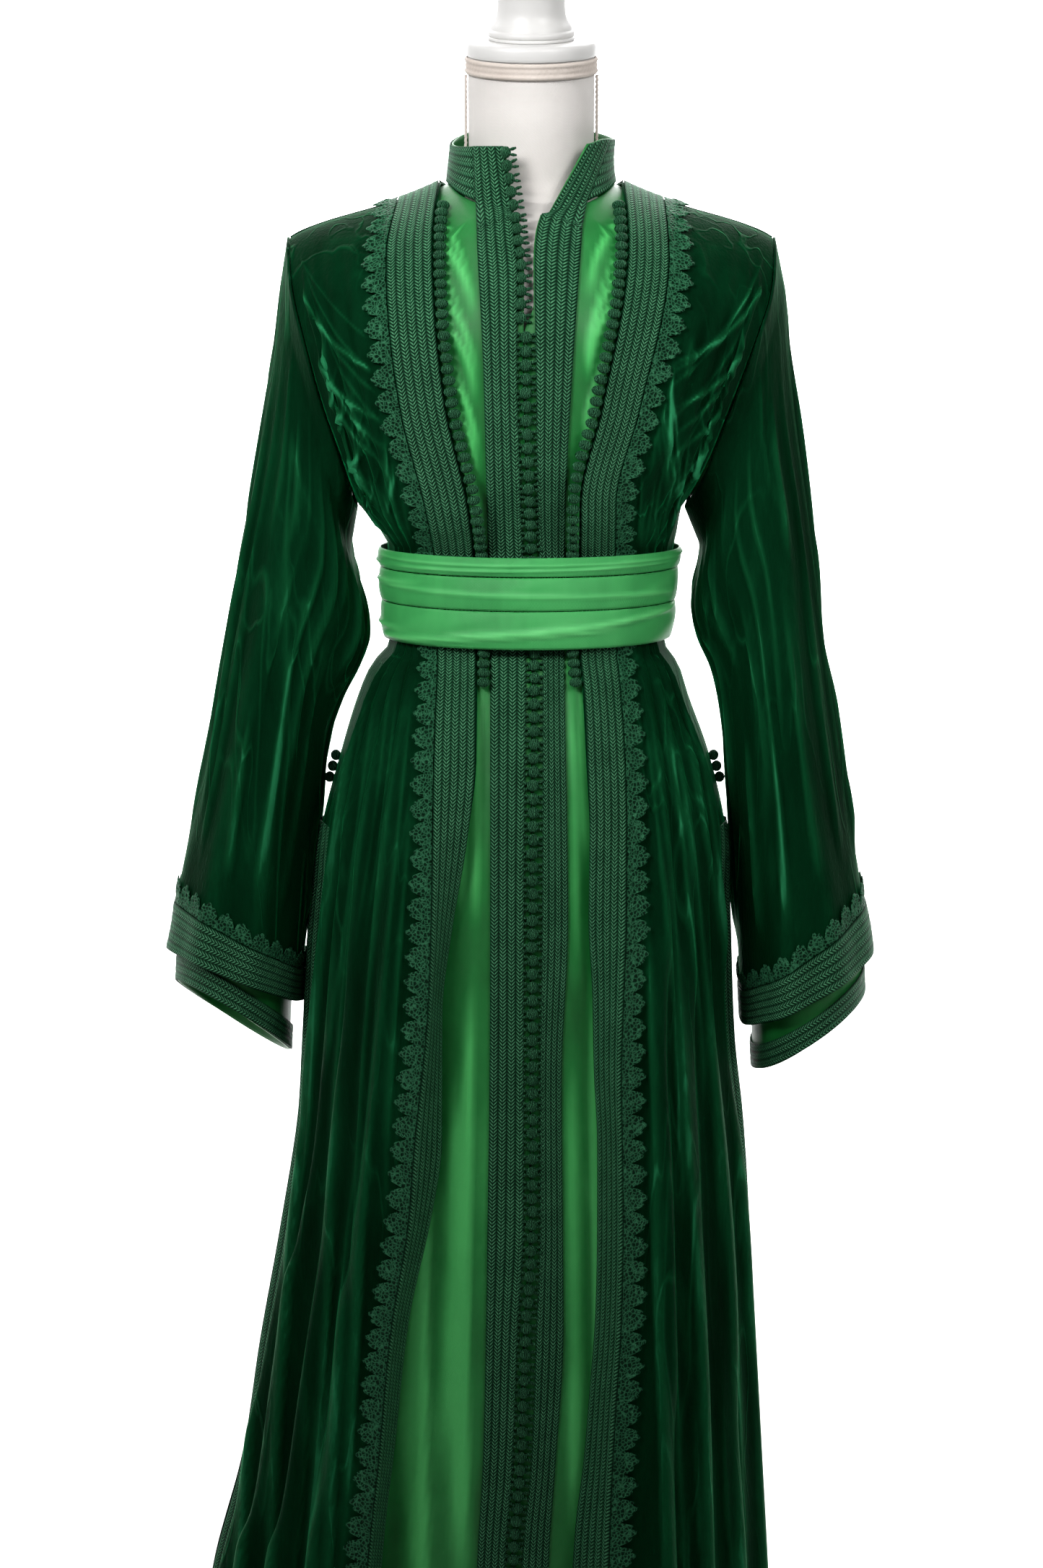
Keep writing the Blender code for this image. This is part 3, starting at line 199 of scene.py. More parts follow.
# %% The open front, the placket and the neckline
FRONT_LEFT = Table(
    "z edge braid",
    (1.4787, 0.0765, 0.1105), (1.4334, 0.0794, 0.1130), (1.30, 0.058, 0.0882),
    (1.218, 0.040, 0.0690), (1.094, 0.0398, 0.0703), (1.065, 0.0428, 0.0732),
    (1.005, 0.0457, 0.0770), (0.9465, 0.0481, 0.0786), (0.8757, 0.0482, 0.0786),
    (0.8165, 0.0518, 0.0768), (0.7445, 0.0538, 0.0752), (0.685, 0.0568, 0.0764),
    (0.625, 0.0569, 0.0771), (0.5335, 0.0553, 0.0756), (0.471, 0.0507, 0.0717),
    (0.412, 0.0459, 0.0687), (0.351, 0.0386, 0.0665), (0.025, 0.030, 0.058))
FRONT_RIGHT = Table(
    "z edge braid",
    (1.4787, 0.0765, 0.1110), (1.4334, 0.0809, 0.1193), (1.30, 0.0703, 0.1071),
    (1.218, 0.0522, 0.0880), (1.17, 0.0470, 0.0800), (1.094, 0.0455, 0.0777),
    (1.0057, 0.0459, 0.0803), (0.9475, 0.0524, 0.0814), (0.865, 0.0675, 0.0836),
    (0.793, 0.0761, 0.0871), (0.685, 0.0762, 0.0982), (0.6235, 0.0849, 0.1032),
    (0.5335, 0.1043, 0.1180), (0.412, 0.1184, 0.1300), (0.349, 0.1260, 0.1370),
    (0.025, 0.150, 0.165))
TUCK = Table(
    "z share room",
    (0.025, 0.95, 0.009), (0.85, 0.95, 0.008), (0.93, 0.75, 0.007),
    (1.00, 0.40, 0.006), (1.06, 0.0, 0.005), (1.48, 0.0, 0.005))
NECKLINE = Table(
    "x z",
    (0.0, 1.4500), (0.0115, 1.4525), (0.030, 1.457), (0.0505, 1.464), (0.0615, 1.470), (0.070, 1.4775))
PLACKET = Table(
    "z right_in right_out left_in left_out",
    (0.025, -0.0300, -0.0560, -0.0160, 0.0090), (0.20, -0.0260, -0.0510, -0.0115, 0.0130),
    (0.336, -0.0207, -0.0451, -0.0067, 0.0159), (0.398, -0.0157, -0.0414, -0.0006, 0.0201),
    (0.523, -0.0107, -0.0382, 0.0040, 0.0273), (0.615, -0.0057, -0.0369, 0.0072, 0.0265),
    (0.738, -0.0056, -0.0350, 0.0071, 0.0252), (0.871, -0.0056, -0.0343, 0.0085, 0.0305),
    (1.093, -0.0040, -0.0342, 0.0090, 0.0274), (1.217, -0.0080, -0.0369, 0.0045, 0.0283),
    (1.335, -0.0112, -0.0397, 0.0030, 0.0339), (1.405, -0.0106, -0.0430, 0.0020, 0.0385),
    (1.439, -0.0139, -0.0446, 0.0040, 0.0410), (1.4525, -0.0150, -0.0450, 0.0080, 0.0420))
FOLDS = Table(
    "z amount",
    (0.025, 0.024), (0.50, 0.016), (0.80, 0.010), (1.00, 0.006), (1.06, 0.004), (1.10, 0.0022),
    (1.17, 0.0022), (1.19, 0.003), (1.25, 0.004), (1.34, 0.003), (1.42, 0.0))

# %% The sleeves, the collar and the sash
SLEEVE_OUT = Table(
    "z left right",
    (0.820, 0.2960, 0.3145), (0.843, 0.2926, 0.3096), (0.868, 0.2872, 0.3060), (0.894, 0.2831, 0.3007),
    (0.944, 0.2737, 0.2895), (0.995, 0.2655, 0.2788), (1.095, 0.2506, 0.2602), (1.194, 0.2377, 0.2424),
    (1.292, 0.2249, 0.2266), (1.341, 0.2194, 0.2187), (1.3895, 0.2146, 0.2125), (1.4335, 0.2060, 0.2060))
SLEEVE_IN = Table(
    "z left right",
    (0.757, 0.1840, 0.2010), (0.854, 0.1785, 0.1975), (0.93, 0.1750, 0.1900), (0.995, 0.1690, 0.1790),
    (1.045, 0.1625, 0.1620), (1.07, 0.1560, 0.1490), (1.095, 0.1440, 0.1410), (1.12, 0.1385, 0.1430),
    (1.1446, 0.1410, 0.1486), (1.169, 0.1440, 0.1530), (1.194, 0.1350, 0.1500), (1.205, 0.1300, 0.1470))
SLEEVE_DEPTH = Table(
    "s depth back",
    (0.0, 0.060, 0.000), (0.3, 0.058, 0.002), (0.7, 0.072, 0.008), (1.0, 0.088, 0.010))
CUFF = {"left": (0.822, 0.757, 0.000), "right": (0.8205, 0.773, 0.014)}
INNER_DROP = {"left": (0.036, 0.044), "right": (0.024, 0.050)}
COLLAR = Table(
    "turn top radius",
    (-180, 1.525, 0.0600), (-130, 1.521, 0.0640), (-90, 1.5145, 0.0690), (-60, 1.514, 0.0690),
    (-43, 1.510, 0.0680), (19, 1.508, 0.0680), (60, 1.508, 0.0670), (90, 1.511, 0.0665),
    (130, 1.521, 0.0640), (180, 1.525, 0.0600))
COLLAR_ENDS = {"base": (-12.0, 12.0), "top": (-43.0, 19.0)}
SASH = Table(
    "z left right front back",
    (1.09, 0.1190, 0.1260, 0.1052, 0.1005), (1.12, 0.1228, 0.1280, 0.1062, 0.1012),
    (1.145, 0.1248, 0.1290, 0.1074, 0.1020), (1.172, 0.1278, 0.1298, 0.1084, 0.1030))
SASH_BANDS = (("sash_upper", 1.1560, 1.1720), ("sash_middle", 1.1275, 1.1552), ("sash_lower", 1.0950, 1.1268))
LAYERS = {"outer": (OUTER, 0.0), "inner": (INNER, 0.0050), "form": (FORM, 0.0076)}
CUTS = {"outer": (OUTER_ARM, UNDERARM_Z, OUTER_NECK_X, 0.026),
        "inner": (INNER_ARM, INNER_UNDERARM_Z, INNER_NECK_X, 0.010)}
print("sash bands:", [name for name, low, high in SASH_BANDS])


# %% [markdown]
# ## Surfaces
# A body surface is a depth over (x, z): an ellipse across, drawn in towards the shoulder line at the
# top. The velvet skirt has a second form below the slits, where the side edge is flicked outwards into
# its narrow braid. These few functions are all that the shape of the garment needs.

# %% Body surfaces
def smoothstep(low, high, value):
    t = np.clip((np.asarray(value, dtype=float) - low) / (high - low), 0, 1)
    return t * t * (3 - 2 * t)


def blend(a, b, t):
    return a + (b - a) * t


def turns(count):
    """Evenly spaced angles round a ring."""
    return 2 * math.pi * np.arange(count) / count


def oval(across, deep, z, angle):
    """A level ring, from its front round the wearer's left."""
    return np.stack([across * np.sin(angle), -deep * np.cos(angle), z + 0 * angle], axis=1)


def layer_depth(layer, x, z, side, face):
    """Distance of a layer's surface from the plane y = 0, at (x, z), on the front or the back."""
    table, lower = LAYERS[layer]
    half = table("left" if side > 0 else "right", z)
    room = np.maximum(SHOULDER("z", np.abs(x)) - lower - z, 0) / SHOULDER_DROP
    rise = np.sqrt(1 - (1 - np.minimum(room, 1)) ** 2)
    across = np.sqrt(np.maximum(1 - (np.abs(x) / half) ** 2, 0))
    return table(face, z) * across * rise


def slit_share(z):
    """How far the side edge is flicked out into its braided strip: none above the slit."""
    return smoothstep(SLIT_TOP_Z + 0.02, SLIT_TOP_Z - 0.07, z)


def skirt_depth(x, z, side, face):
    """The velvet's depth, drawn in at its sides where the slit's braid begins."""
    base = layer_depth("outer", x, z, side, face)
    share = slit_share(z)
    half = OUTER("left" if side > 0 else "right", z)
    strip = SLIT_BRAID * math.sqrt(0.5) * share
    edge = (SLIT_EDGE + strip) * share
    across = np.sqrt(np.maximum(1 - (np.abs(x) / (half - strip)) ** 2, 0))
    return blend(base, edge + (OUTER(face, z) - edge) * across, share)


def x_along(surface, start, length):
    """The x reached after a given length over a surface, outwards from a starting x."""
    x = start + np.linspace(0, length, 25)
    y = surface(x)
    run = np.concatenate(([0], np.cumsum(np.hypot(np.diff(x), np.diff(y)))))
    return float(np.interp(length, run, x))


def row_height(x, x_a, z_a, x_b, z_b):
    """Heights along a row that keeps a blended distance below the shoulder line."""
    t = np.clip((x - x_a) / (x_b - x_a), 0, 1)
    drop_a = SHOULDER("z", x_a) - z_a
    drop_b = SHOULDER("z", x_b) - z_b
    line = blend(SHOULDER("z", x_a), SHOULDER("z", x_b), t)
    near = smoothstep(0.10, 0.0, drop_a)
    return blend(line, SHOULDER("z", x), near) - blend(drop_a, drop_b, t)


# %% [markdown]
# ## From a grid of points to cloth
# Blender's grid operator gives a flat sheet of quads. We lay it on the garment by giving each of its
# corners a place on the surface, and keep the distance across and down the cloth as its UV map, in
# metres. So a weave follows the cloth, wherever it goes. A Solidify modifier gives the wall.

# %% Grids
def normals_of(points, around=False):
    """Unit normals of a grid of points, turned away from its middle line."""
    down = np.gradient(points, axis=0)
    if around:
        along = np.roll(points, -1, axis=1) - np.roll(points, 1, axis=1)
    else:
        along = np.gradient(points, axis=1)
    normal = np.cross(down, along)
    normal /= np.maximum(np.linalg.norm(normal, axis=2), 1e-9)[:, :, None]
    if around:
        middle = points.mean(axis=1)[:, None, :]
    else:
        middle = points * np.array([0.0, 0.0, 1.0]) - np.array([0.0, 0.0, 0.02])
    if np.sum(normal * (points - middle)) < 0:
        normal = -normal
    return normal


def lengths_of(points, around=False):
    """Distance across and down a grid of points, as its UV map in metres."""
    wide = np.concatenate([points, points[:, :1]], axis=1) if around else points
    across = np.linalg.norm(np.diff(wide, axis=1), axis=2)
    down = np.linalg.norm(np.diff(wide, axis=0), axis=2)
    u = np.concatenate([np.zeros((len(wide), 1)), np.cumsum(across, axis=1)], axis=1)
    v = np.concatenate([np.zeros((1, wide.shape[1])), np.cumsum(down, axis=0)], axis=0)
    u -= u.mean(axis=1)[:, None]
    return np.stack([u, np.broadcast_to(v.mean(axis=1)[:, None], u.shape)], axis=2)


PIECES = {}


def mesh_of(name, bm):
    """The mesh that a bmesh has made; the bmesh is freed."""
    mesh = bpy.data.meshes.new(name)
    bm.to_mesh(mesh)
    bm.free()
    return mesh


def add_object(name, data):
    made = bpy.data.objects.new(name, data)
    bpy.context.scene.collection.objects.link(made)
    return made


def set_painted_highlight(mesh, values):
    """Keeps, for each point, how strongly the finishes paint a highlight on it, mostly from how high it
    stands on a fold.
    """
    mesh.attributes.new("crest_and_highlight", "FLOAT", "POINT").data.foreach_set("value", values)


def grid_piece(name, points, normal, slot, around=False, uv=None, crest_and_highlight=None, wall=None, node_name=None):
    """A piece from a grid of points, with its outside along the normals and its wall behind them."""
    rows, columns = points.shape[:2]
    spans = columns if around else columns - 1
    uv = lengths_of(points, around) if uv is None else uv
    bm = bmesh.new()
    bmesh.ops.create_grid(bm, x_segments=spans, y_segments=rows - 1, size=1.0)
    mesh = mesh_of(name, bm)
    flat = np.zeros(len(mesh.vertices) * 3)
    mesh.vertices.foreach_get("co", flat)
    flat = flat.reshape(-1, 3)
    column = np.rint((flat[:, 0] + 1) / 2 * spans).astype(int)
    row = np.rint((flat[:, 1] + 1) / 2 * (rows - 1)).astype(int)
    place = points[row, column % columns] + SHIFT
    mesh.vertices.foreach_set("co", place.ravel())
    corner = np.zeros(len(mesh.loops), dtype=int)
    mesh.loops.foreach_get("vertex_index", corner)
    layer = mesh.uv_layers.new(name="UVMap")
    layer.data.foreach_set("uv", uv[row, column][corner].ravel())
    height = np.zeros(points.shape[:2]) if crest_and_highlight is None else crest_and_highlight
    set_painted_highlight(mesh, height[row, column % columns])
    mesh.update()
    faces = np.zeros(len(mesh.polygons) * 3)
    mesh.polygons.foreach_get("normal", faces)
    first = np.array([polygon.vertices[0] for polygon in mesh.polygons])
    outside = normal[row, column % columns][first]
    if np.sum(faces.reshape(-1, 3) * outside) < 0:
        mesh.flip_normals()
    if around:
        bm = bmesh.new()
        bm.from_mesh(mesh)
        bmesh.ops.remove_doubles(bm, verts=bm.verts[:], dist=MERGE)
        bm.to_mesh(mesh)
        bm.free()
    piece = finished(name, mesh, slot, node_name)
    if wall:
        solidify = piece.modifiers.new("wall", "SOLIDIFY")
        solidify.thickness = wall
        solidify.offset = -1.0
    return piece


def finished(name, mesh, slot, node_name=None):
    """A smooth object at the origin that rides on the one body and stands for its node."""
    mesh.shade_smooth()
    mesh.materials.append(FINISHES[slot])
    piece = add_object(f"{name}_fine", mesh)
    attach(piece, "root")
    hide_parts(node_name or name)
    PIECES[name] = piece
    return piece


def cloth(name, points, normal, slot, held, rests_on, around=False, crest_and_highlight=None):
    """A panel of cloth whose cut, unrolled, is measured and printed."""
    piece = grid_piece(name, points, normal, slot, around, crest_and_highlight=crest_and_highlight, wall=WALLS[slot])
    uv = lengths_of(points, around)
    width = round(float(np.ptp(uv[:, :, 0], axis=1).max()), 3)
    length = round(float(np.ptp(uv[:, :, 1])), 3)
    wide = np.concatenate([points, points[:, :1]], axis=1) if around else points
    a, b = wide[1:, 1:] - wide[:-1, :-1], wide[1:, :-1] - wide[:-1, 1:]
    area = float(np.linalg.norm(np.cross(a, b), axis=2).sum() / 2)
    area = max(min(area, width * length), LEAST_AREA * width * length)
    print(f"{piece.name}: cut {width:.3f} x {length:.3f} m, {area:.3f} square metres")


# %% [markdown]
# ## Creases
# Nothing gives cloth away like its creases. We keep two kinds. Pleats are part of the panel's own
# section. Ridges are single creases: each one is a line on the panel with a bow, a width and a height
# that fades at both ends. No two get the same numbers, because no two creases are alike.

# %% Creases
def ridge(across, down, start, end, bow, width, height):
    """A crease from start to end on a panel, steep on one side, as a height for each point."""
    start, end = np.array(start), np.array(end)
    chord = end - start
    length = np.linalg.norm(chord)
    forward = chord / length
    aside = np.array([-forward[1], forward[0]])
    rel_x, rel_z = across - start[0], down - start[1]
    t = (rel_x * forward[0] + rel_z * forward[1]) / length
    d = rel_x * aside[0] + rel_z * aside[1] - bow * 4 * t * (1 - t)
    ends = smoothstep(-0.05, 0.28, t) * smoothstep(1.05, 0.72, t)
    spread = width * (0.65 + 0.7 * np.clip(t, 0, 1)) * np.where(d > 0, 1.25, 0.55)
    return height * ends * np.exp(-(d / spread) ** 2)


def creased(across, down, creases):
    """The sum of a list of creases over a panel."""
    total = np.zeros(np.broadcast(across, down).shape)
    for crease in creases:
        total = total + ridge(across, down, *crease)
    return total


def strays(count, rate, phase):
    """Pairs of a number and a value between -1 and 1, with no rhythm that the eye finds."""
    return [(k, math.sin(rate * k + phase)) for k in range(count)]


def uneven(value, seed):
    """A smooth wave between about -1 and 1 that never quite repeats."""
    return (np.sin(value + 1.7 * seed) + 0.6 * np.sin(1.93 * value + 3.1 * seed)
            + 0.4 * np.sin(3.31 * value + 5.3 * seed)) / 2


def pleat(across, z, count, seed):
    """Pleats across a panel, from 0 to 1, that wander and differ in height."""
    wander = 0.16 * uneven(4.1 * across + 5.0 * z, seed) * np.sin(math.pi * across) / count
    wave = np.sin(math.pi * count * (across + wander)) ** 2
    size = 0.82 + 0.18 * uneven(6.3 * across + 1.5 * z, seed + 2)
    return size * wave


# %% [markdown]
# ## Materials
# Velvet and satin are both made of fine shiny yarn, but they take light in opposite ways. A velvet's
# pile stands up: looked at straight it swallows light, and along a crease, where the pile is seen from
# the side, it flares up. That is what sheen does in the Principled shader. Satin lies flat and shines.
# Effects that several finishes share are node groups with named inputs.

# %% Small helpers for node trees
def new_material(name, **constants):
    """A material with its shader's constant sockets set."""
    material = bpy.data.materials.new(name)
    material.use_nodes = True
    shader = material.node_tree.nodes["Principled BSDF"]
    for label, value in constants.items():
        shader.inputs[label.replace("_", " ")].default_value = value
    return material, material.node_tree, shader


def node(tree, kind, inputs=None, **settings):
    """Adds a node; an input is a constant or another node's output."""
    made = tree.nodes.new(kind)
    for label, value in settings.items():
        setattr(made, label, value)
    for key, value in (inputs or {}).items():
        socket = made.inputs[key]
        if isinstance(value, bpy.types.NodeSocket):
            tree.links.new(value, socket)
        else:
            socket.default_value = value
    return made


def calc(tree, operation, *values):
    return node(tree, "ShaderNodeMath", dict(enumerate(values)), operation=operation).outputs[0]


def half_wave(tree, operation, turn):
    """A sine or cosine of a number of turns, brought to 0 to 1."""
    wave = calc(tree, operation, calc(tree, "MULTIPLY", turn, 2 * math.pi))
    return calc(tree, "MULTIPLY_ADD", wave, 0.5, 0.5)


def painted_highlight_of(tree):
    """The painted highlight that a mesh keeps for each point, mostly from how high it stands on a fold."""
    return node(tree, "ShaderNodeAttribute", attribute_name="crest_and_highlight").outputs["Fac"]


def new_group(name, inputs, outputs):
    group = bpy.data.node_groups.new(name, "ShaderNodeTree")
    for label, kind, default in inputs:
        socket = group.interface.new_socket(label, in_out="INPUT", socket_type=f"NodeSocket{kind}")
        if default is not None:
            socket.default_value = default
    for label, kind in outputs:
        group.interface.new_socket(label, in_out="OUTPUT", socket_type=f"NodeSocket{kind}")
    return group, group.nodes.new("NodeGroupInput").outputs, group.nodes.new("NodeGroupOutput")


# %% [markdown]
# A braid like this is plaited from cords that lie in chevrons, a stitch to every three millimetres. It could
# be modelled cord by cord, in millions of faces. A pattern on the strip's own UV map looks the same: a sine
# wave bent into a V, lower along each spine and towards each edge. The finish uses it as a relief, and also
# paints these furrows darker, as painted shade.

# %% Herringbone stitches, from a strip's own UV map
def herringbone_group():
    """Stitches in chevrons: u counts the bands across a braid, v runs along it in metres."""
    group, given, result = new_group(
        "herringbone stitches",
        [("Vector", "Vector", None), ("Pitch", "Float", 0.0034), ("Slope", "Float", 2.5)],
        [("Height", "Float")])
    split = node(group, "ShaderNodeSeparateXYZ", {0: given["Vector"]})
    inside = calc(group, "FRACT", split.outputs[0])
    arm = calc(group, "ABSOLUTE", calc(group, "SUBTRACT", inside, 0.5))
    along = calc(group, "DIVIDE", split.outputs[1], given["Pitch"])
    phase = calc(group, "ADD", along, calc(group, "MULTIPLY", arm, given["Slope"]))
    rounded = half_wave(group, "SINE", phase)
    edge = half_wave(group, "COSINE", arm)
    spine = calc(group, "MINIMUM", calc(group, "MULTIPLY", arm, 9.0), 1.0)
    spine = calc(group, "MULTIPLY_ADD", spine, 0.5, 0.5)
    cord = calc(group, "MULTIPLY", calc(group, "POWER", edge, 0.20), spine)
    height = calc(group, "MULTIPLY", calc(group, "POWER", rounded, 0.9), cord)
    group.links.new(height, result.inputs["Height"])
    return group


# %% [markdown]
# No yarn is dyed or handled evenly, and a pile that was crushed leans over in thin lines. Noise gives both:
# the lines are a relief, and the velvet also paints them lighter as painted highlights. Clouds and speckles
# serve every finish. The lines lie where a noise crosses its middle value, in a space that is stretched
# upright, as the creases are.

# %% Uneven yarn, woven threads and crushed pile
def patchy_group():
    """Cloudy variation in two sizes, from 0 to 1, as handling and dyeing leave it."""
    group, given, result = new_group(
        "patchy yarn",
        [("Vector", "Vector", None), ("Large", "Float", 14.0), ("Small", "Float", 160.0)],
        [("Cloud", "Float"), ("Speckle", "Float")])
    for output, size, detail in (("Cloud", "Large", 4.0), ("Speckle", "Small", 2.0)):
        noise = node(group, "ShaderNodeTexNoise", {"Vector": given["Vector"], "Scale": given[size],
                                                   "Detail": detail, "Roughness": 0.6})
        group.links.new(noise.outputs["Fac"], result.inputs[output])
    return group


def threads_group():
    """Fine crossing threads, from the UV map in metres."""
    group, given, result = new_group(
        "woven threads", [("Vector", "Vector", None), ("Count", "Float", 2200.0)], [("Height", "Float")])
    split = node(group, "ShaderNodeSeparateXYZ", {0: given["Vector"]})
    waves = [calc(group, "SINE", calc(group, "MULTIPLY", split.outputs[axis], given["Count"]))
             for axis in (0, 1)]
    group.links.new(calc(group, "MULTIPLY", *waves), result.inputs["Height"])
    return group


def crushed_group():
    """Thin lines where a pile has been crushed, for a relief and for painted highlights: long, mostly
    upright, fading in and out.
    """
    group, given, result = new_group("crushed pile", [("Vector", "Vector", None)], [("Line", "Float")])
    total = 0.0
    for upright, size, offset, thin in ((0.10, 21.0, 3.1, 46.0), (0.17, 38.0, 9.7, 38.0)):
        place = node(group, "ShaderNodeMapping", {"Vector": given["Vector"], "Scale": (1.0, 1.0, upright),
                                                  "Location": (offset, offset / 2, offset / 3)})
        noise = node(group, "ShaderNodeTexNoise", {"Vector": place.outputs[0], "Scale": size, "Detail": 1.5,
                                                   "Roughness": 0.45, "Distortion": 0.12})
        off = calc(group, "ABSOLUTE", calc(group, "SUBTRACT", noise.outputs["Fac"], 0.5))
        line = calc(group, "MAXIMUM", calc(group, "MULTIPLY_ADD", off, -thin, 1.0), 0.0)
        mask = node(group, "ShaderNodeTexNoise", {"Vector": place.outputs[0], "Scale": size * 0.55,
                                                  "Detail": 1.0})
        shown = calc(group, "MULTIPLY_ADD", mask.outputs["Fac"], 5.0, -2.3)
        shown = calc(group, "MINIMUM", calc(group, "MAXIMUM", shown, 0.0), 1.0)
        total = calc(group, "MAXIMUM", total, calc(group, "MULTIPLY", line, shown))
    group.links.new(total, result.inputs["Line"])
    return group


HERRINGBONE = herringbone_group()
CRUSHED = crushed_group()
PATCHY = patchy_group()
THREADS = threads_group()


def use_group(tree, group, **inputs):
    return node(tree, "ShaderNodeGroup", inputs, node_tree=group).outputs


def colours_between(tree, factor, *stops):
    """A colour ramp with stops of (position, colour), driven by a factor."""
    ramp = node(tree, "ShaderNodeValToRGB", {"Fac": factor})
    for k, (place, colour) in enumerate(stops):
        element = ramp.color_ramp.elements[k] if k < 2 else ramp.color_ramp.elements.new(place)
        element.position = place
        element.color = (*colour, 1.0)
    return ramp.outputs["Color"]


def bump(tree, shader, height, distance, strength):
    made = node(tree, "ShaderNodeBump", {"Height": height, "Distance": distance, "Strength": strength})
    tree.links.new(made.outputs["Normal"], shader.inputs["Normal"])


# %% [markdown]
# On velvet the pile turns to the light on each crease. So a colour ramp paints highlights where the mesh
# keeps them and along the crushed lines, and adds the clouds; sheen adds the glow.

# %% Velvet
def make_velvet():
    """Deep green pile: dark where it is looked at straight, with painted highlights on the tops of creases
    and along crushed lines.
    """
    material, tree, shader = new_material(
        "emerald velvet", Sheen_Weight=0.40, Sheen_Roughness=0.30, Sheen_Tint=(0.006, 0.36, 0.10, 1.0),
        Specular_IOR_Level=0.05, Specular_Tint=(0.15, 1.0, 0.45, 1.0))
    place = node(tree, "ShaderNodeTexCoord").outputs
    stretched = node(tree, "ShaderNodeMapping", {"Vector": place["Object"], "Scale": (1.0, 1.0, 0.22)})
    yarn = use_group(tree, PATCHY, Vector=stretched.outputs[0], Large=26.0, Small=420.0)
    crush_and_highlight = use_group(tree, CRUSHED, Vector=place["Object"])["Line"]
    cloud = calc(tree, "MULTIPLY_ADD", yarn["Cloud"], 0.80, -0.20)
    # Painted highlights: the ramp goes lighter on the tops of folds and creases and on the crushed lines; the
    # clouds and speckles are the yarn's own uneven tone.
    light = calc(tree, "MULTIPLY_ADD", painted_highlight_of(tree), 0.72, cloud)
    light = calc(tree, "MULTIPLY_ADD", crush_and_highlight, 0.27, light)
    light = calc(tree, "MULTIPLY_ADD", yarn["Speckle"], 0.12, light)
    colour = colours_between(tree, light, (0.08, (0.0004, 0.0085, 0.0025)), (0.34, (0.0008, 0.0195, 0.0060)),
                             (0.66, (0.0030, 0.0520, 0.0165)), (1.0, (0.0200, 0.2000, 0.0800)))
    tree.links.new(colour, shader.inputs["Base Color"])
    tree.links.new(calc(tree, "MULTIPLY_ADD", yarn["Speckle"], 0.25, 0.58), shader.inputs["Roughness"])
    relief = calc(tree, "MULTIPLY_ADD", crush_and_highlight, 2.2, yarn["Speckle"])
    bump(tree, shader, relief, 0.0008, 0.7)
    return material


# %% [markdown]
# Satin is woven with long floats that lie flat, so it is smooth and shines along the weave. The same kind of
# ramp paints highlights on the tops of its creases, and very fine crossing threads break up the gloss.

# %% Satin
def make_satin(name, low, middle, high, roughness):
    """Satin with its threads, and painted highlights on the tops of its creases."""
    material, tree, shader = new_material(
        name, Sheen_Weight=0.12, Sheen_Roughness=0.4, Sheen_Tint=(0.20, 0.9, 0.4, 1.0),
        Anisotropic=0.35, Specular_IOR_Level=0.30)
    place = node(tree, "ShaderNodeTexCoord").outputs
    stretched = node(tree, "ShaderNodeMapping", {"Vector": place["Object"], "Scale": (1.0, 1.0, 0.35)})
    yarn = use_group(tree, PATCHY, Vector=stretched.outputs[0], Large=17.0, Small=300.0)
    cloud = calc(tree, "MULTIPLY_ADD", yarn["Cloud"], 0.55, 0.10)
    # Painted highlights: the ramp goes lighter on the tops of the creases; the clouds are the yarn's own
    # uneven tone.
    light = calc(tree, "MULTIPLY_ADD", painted_highlight_of(tree), 0.50, cloud)
    colour = colours_between(tree, light, (0.15, low), (0.42, middle), (0.85, high))
    tree.links.new(colour, shader.inputs["Base Color"])
    tree.links.new(calc(tree, "MULTIPLY_ADD", yarn["Cloud"], 0.16, roughness - 0.08),
                   shader.inputs["Roughness"])
    threads = use_group(tree, THREADS, Vector=place["UV"], Count=5200.0)["Height"]
    both = calc(tree, "MULTIPLY_ADD", yarn["Speckle"], 1.4, threads)
    bump(tree, shader, both, 0.00012, 0.6)
    return material


# %% [markdown]
# Braid, lace and knots are worked from one silk cord, so one function makes the three finishes. They differ
# in what the cord does: chevrons in the braid, a net of cells in the lace, turns in a knot. In each, the gaps
# between the cords are painted dark, as painted shade, and the raised parts a little lighter, as painted
# highlights.

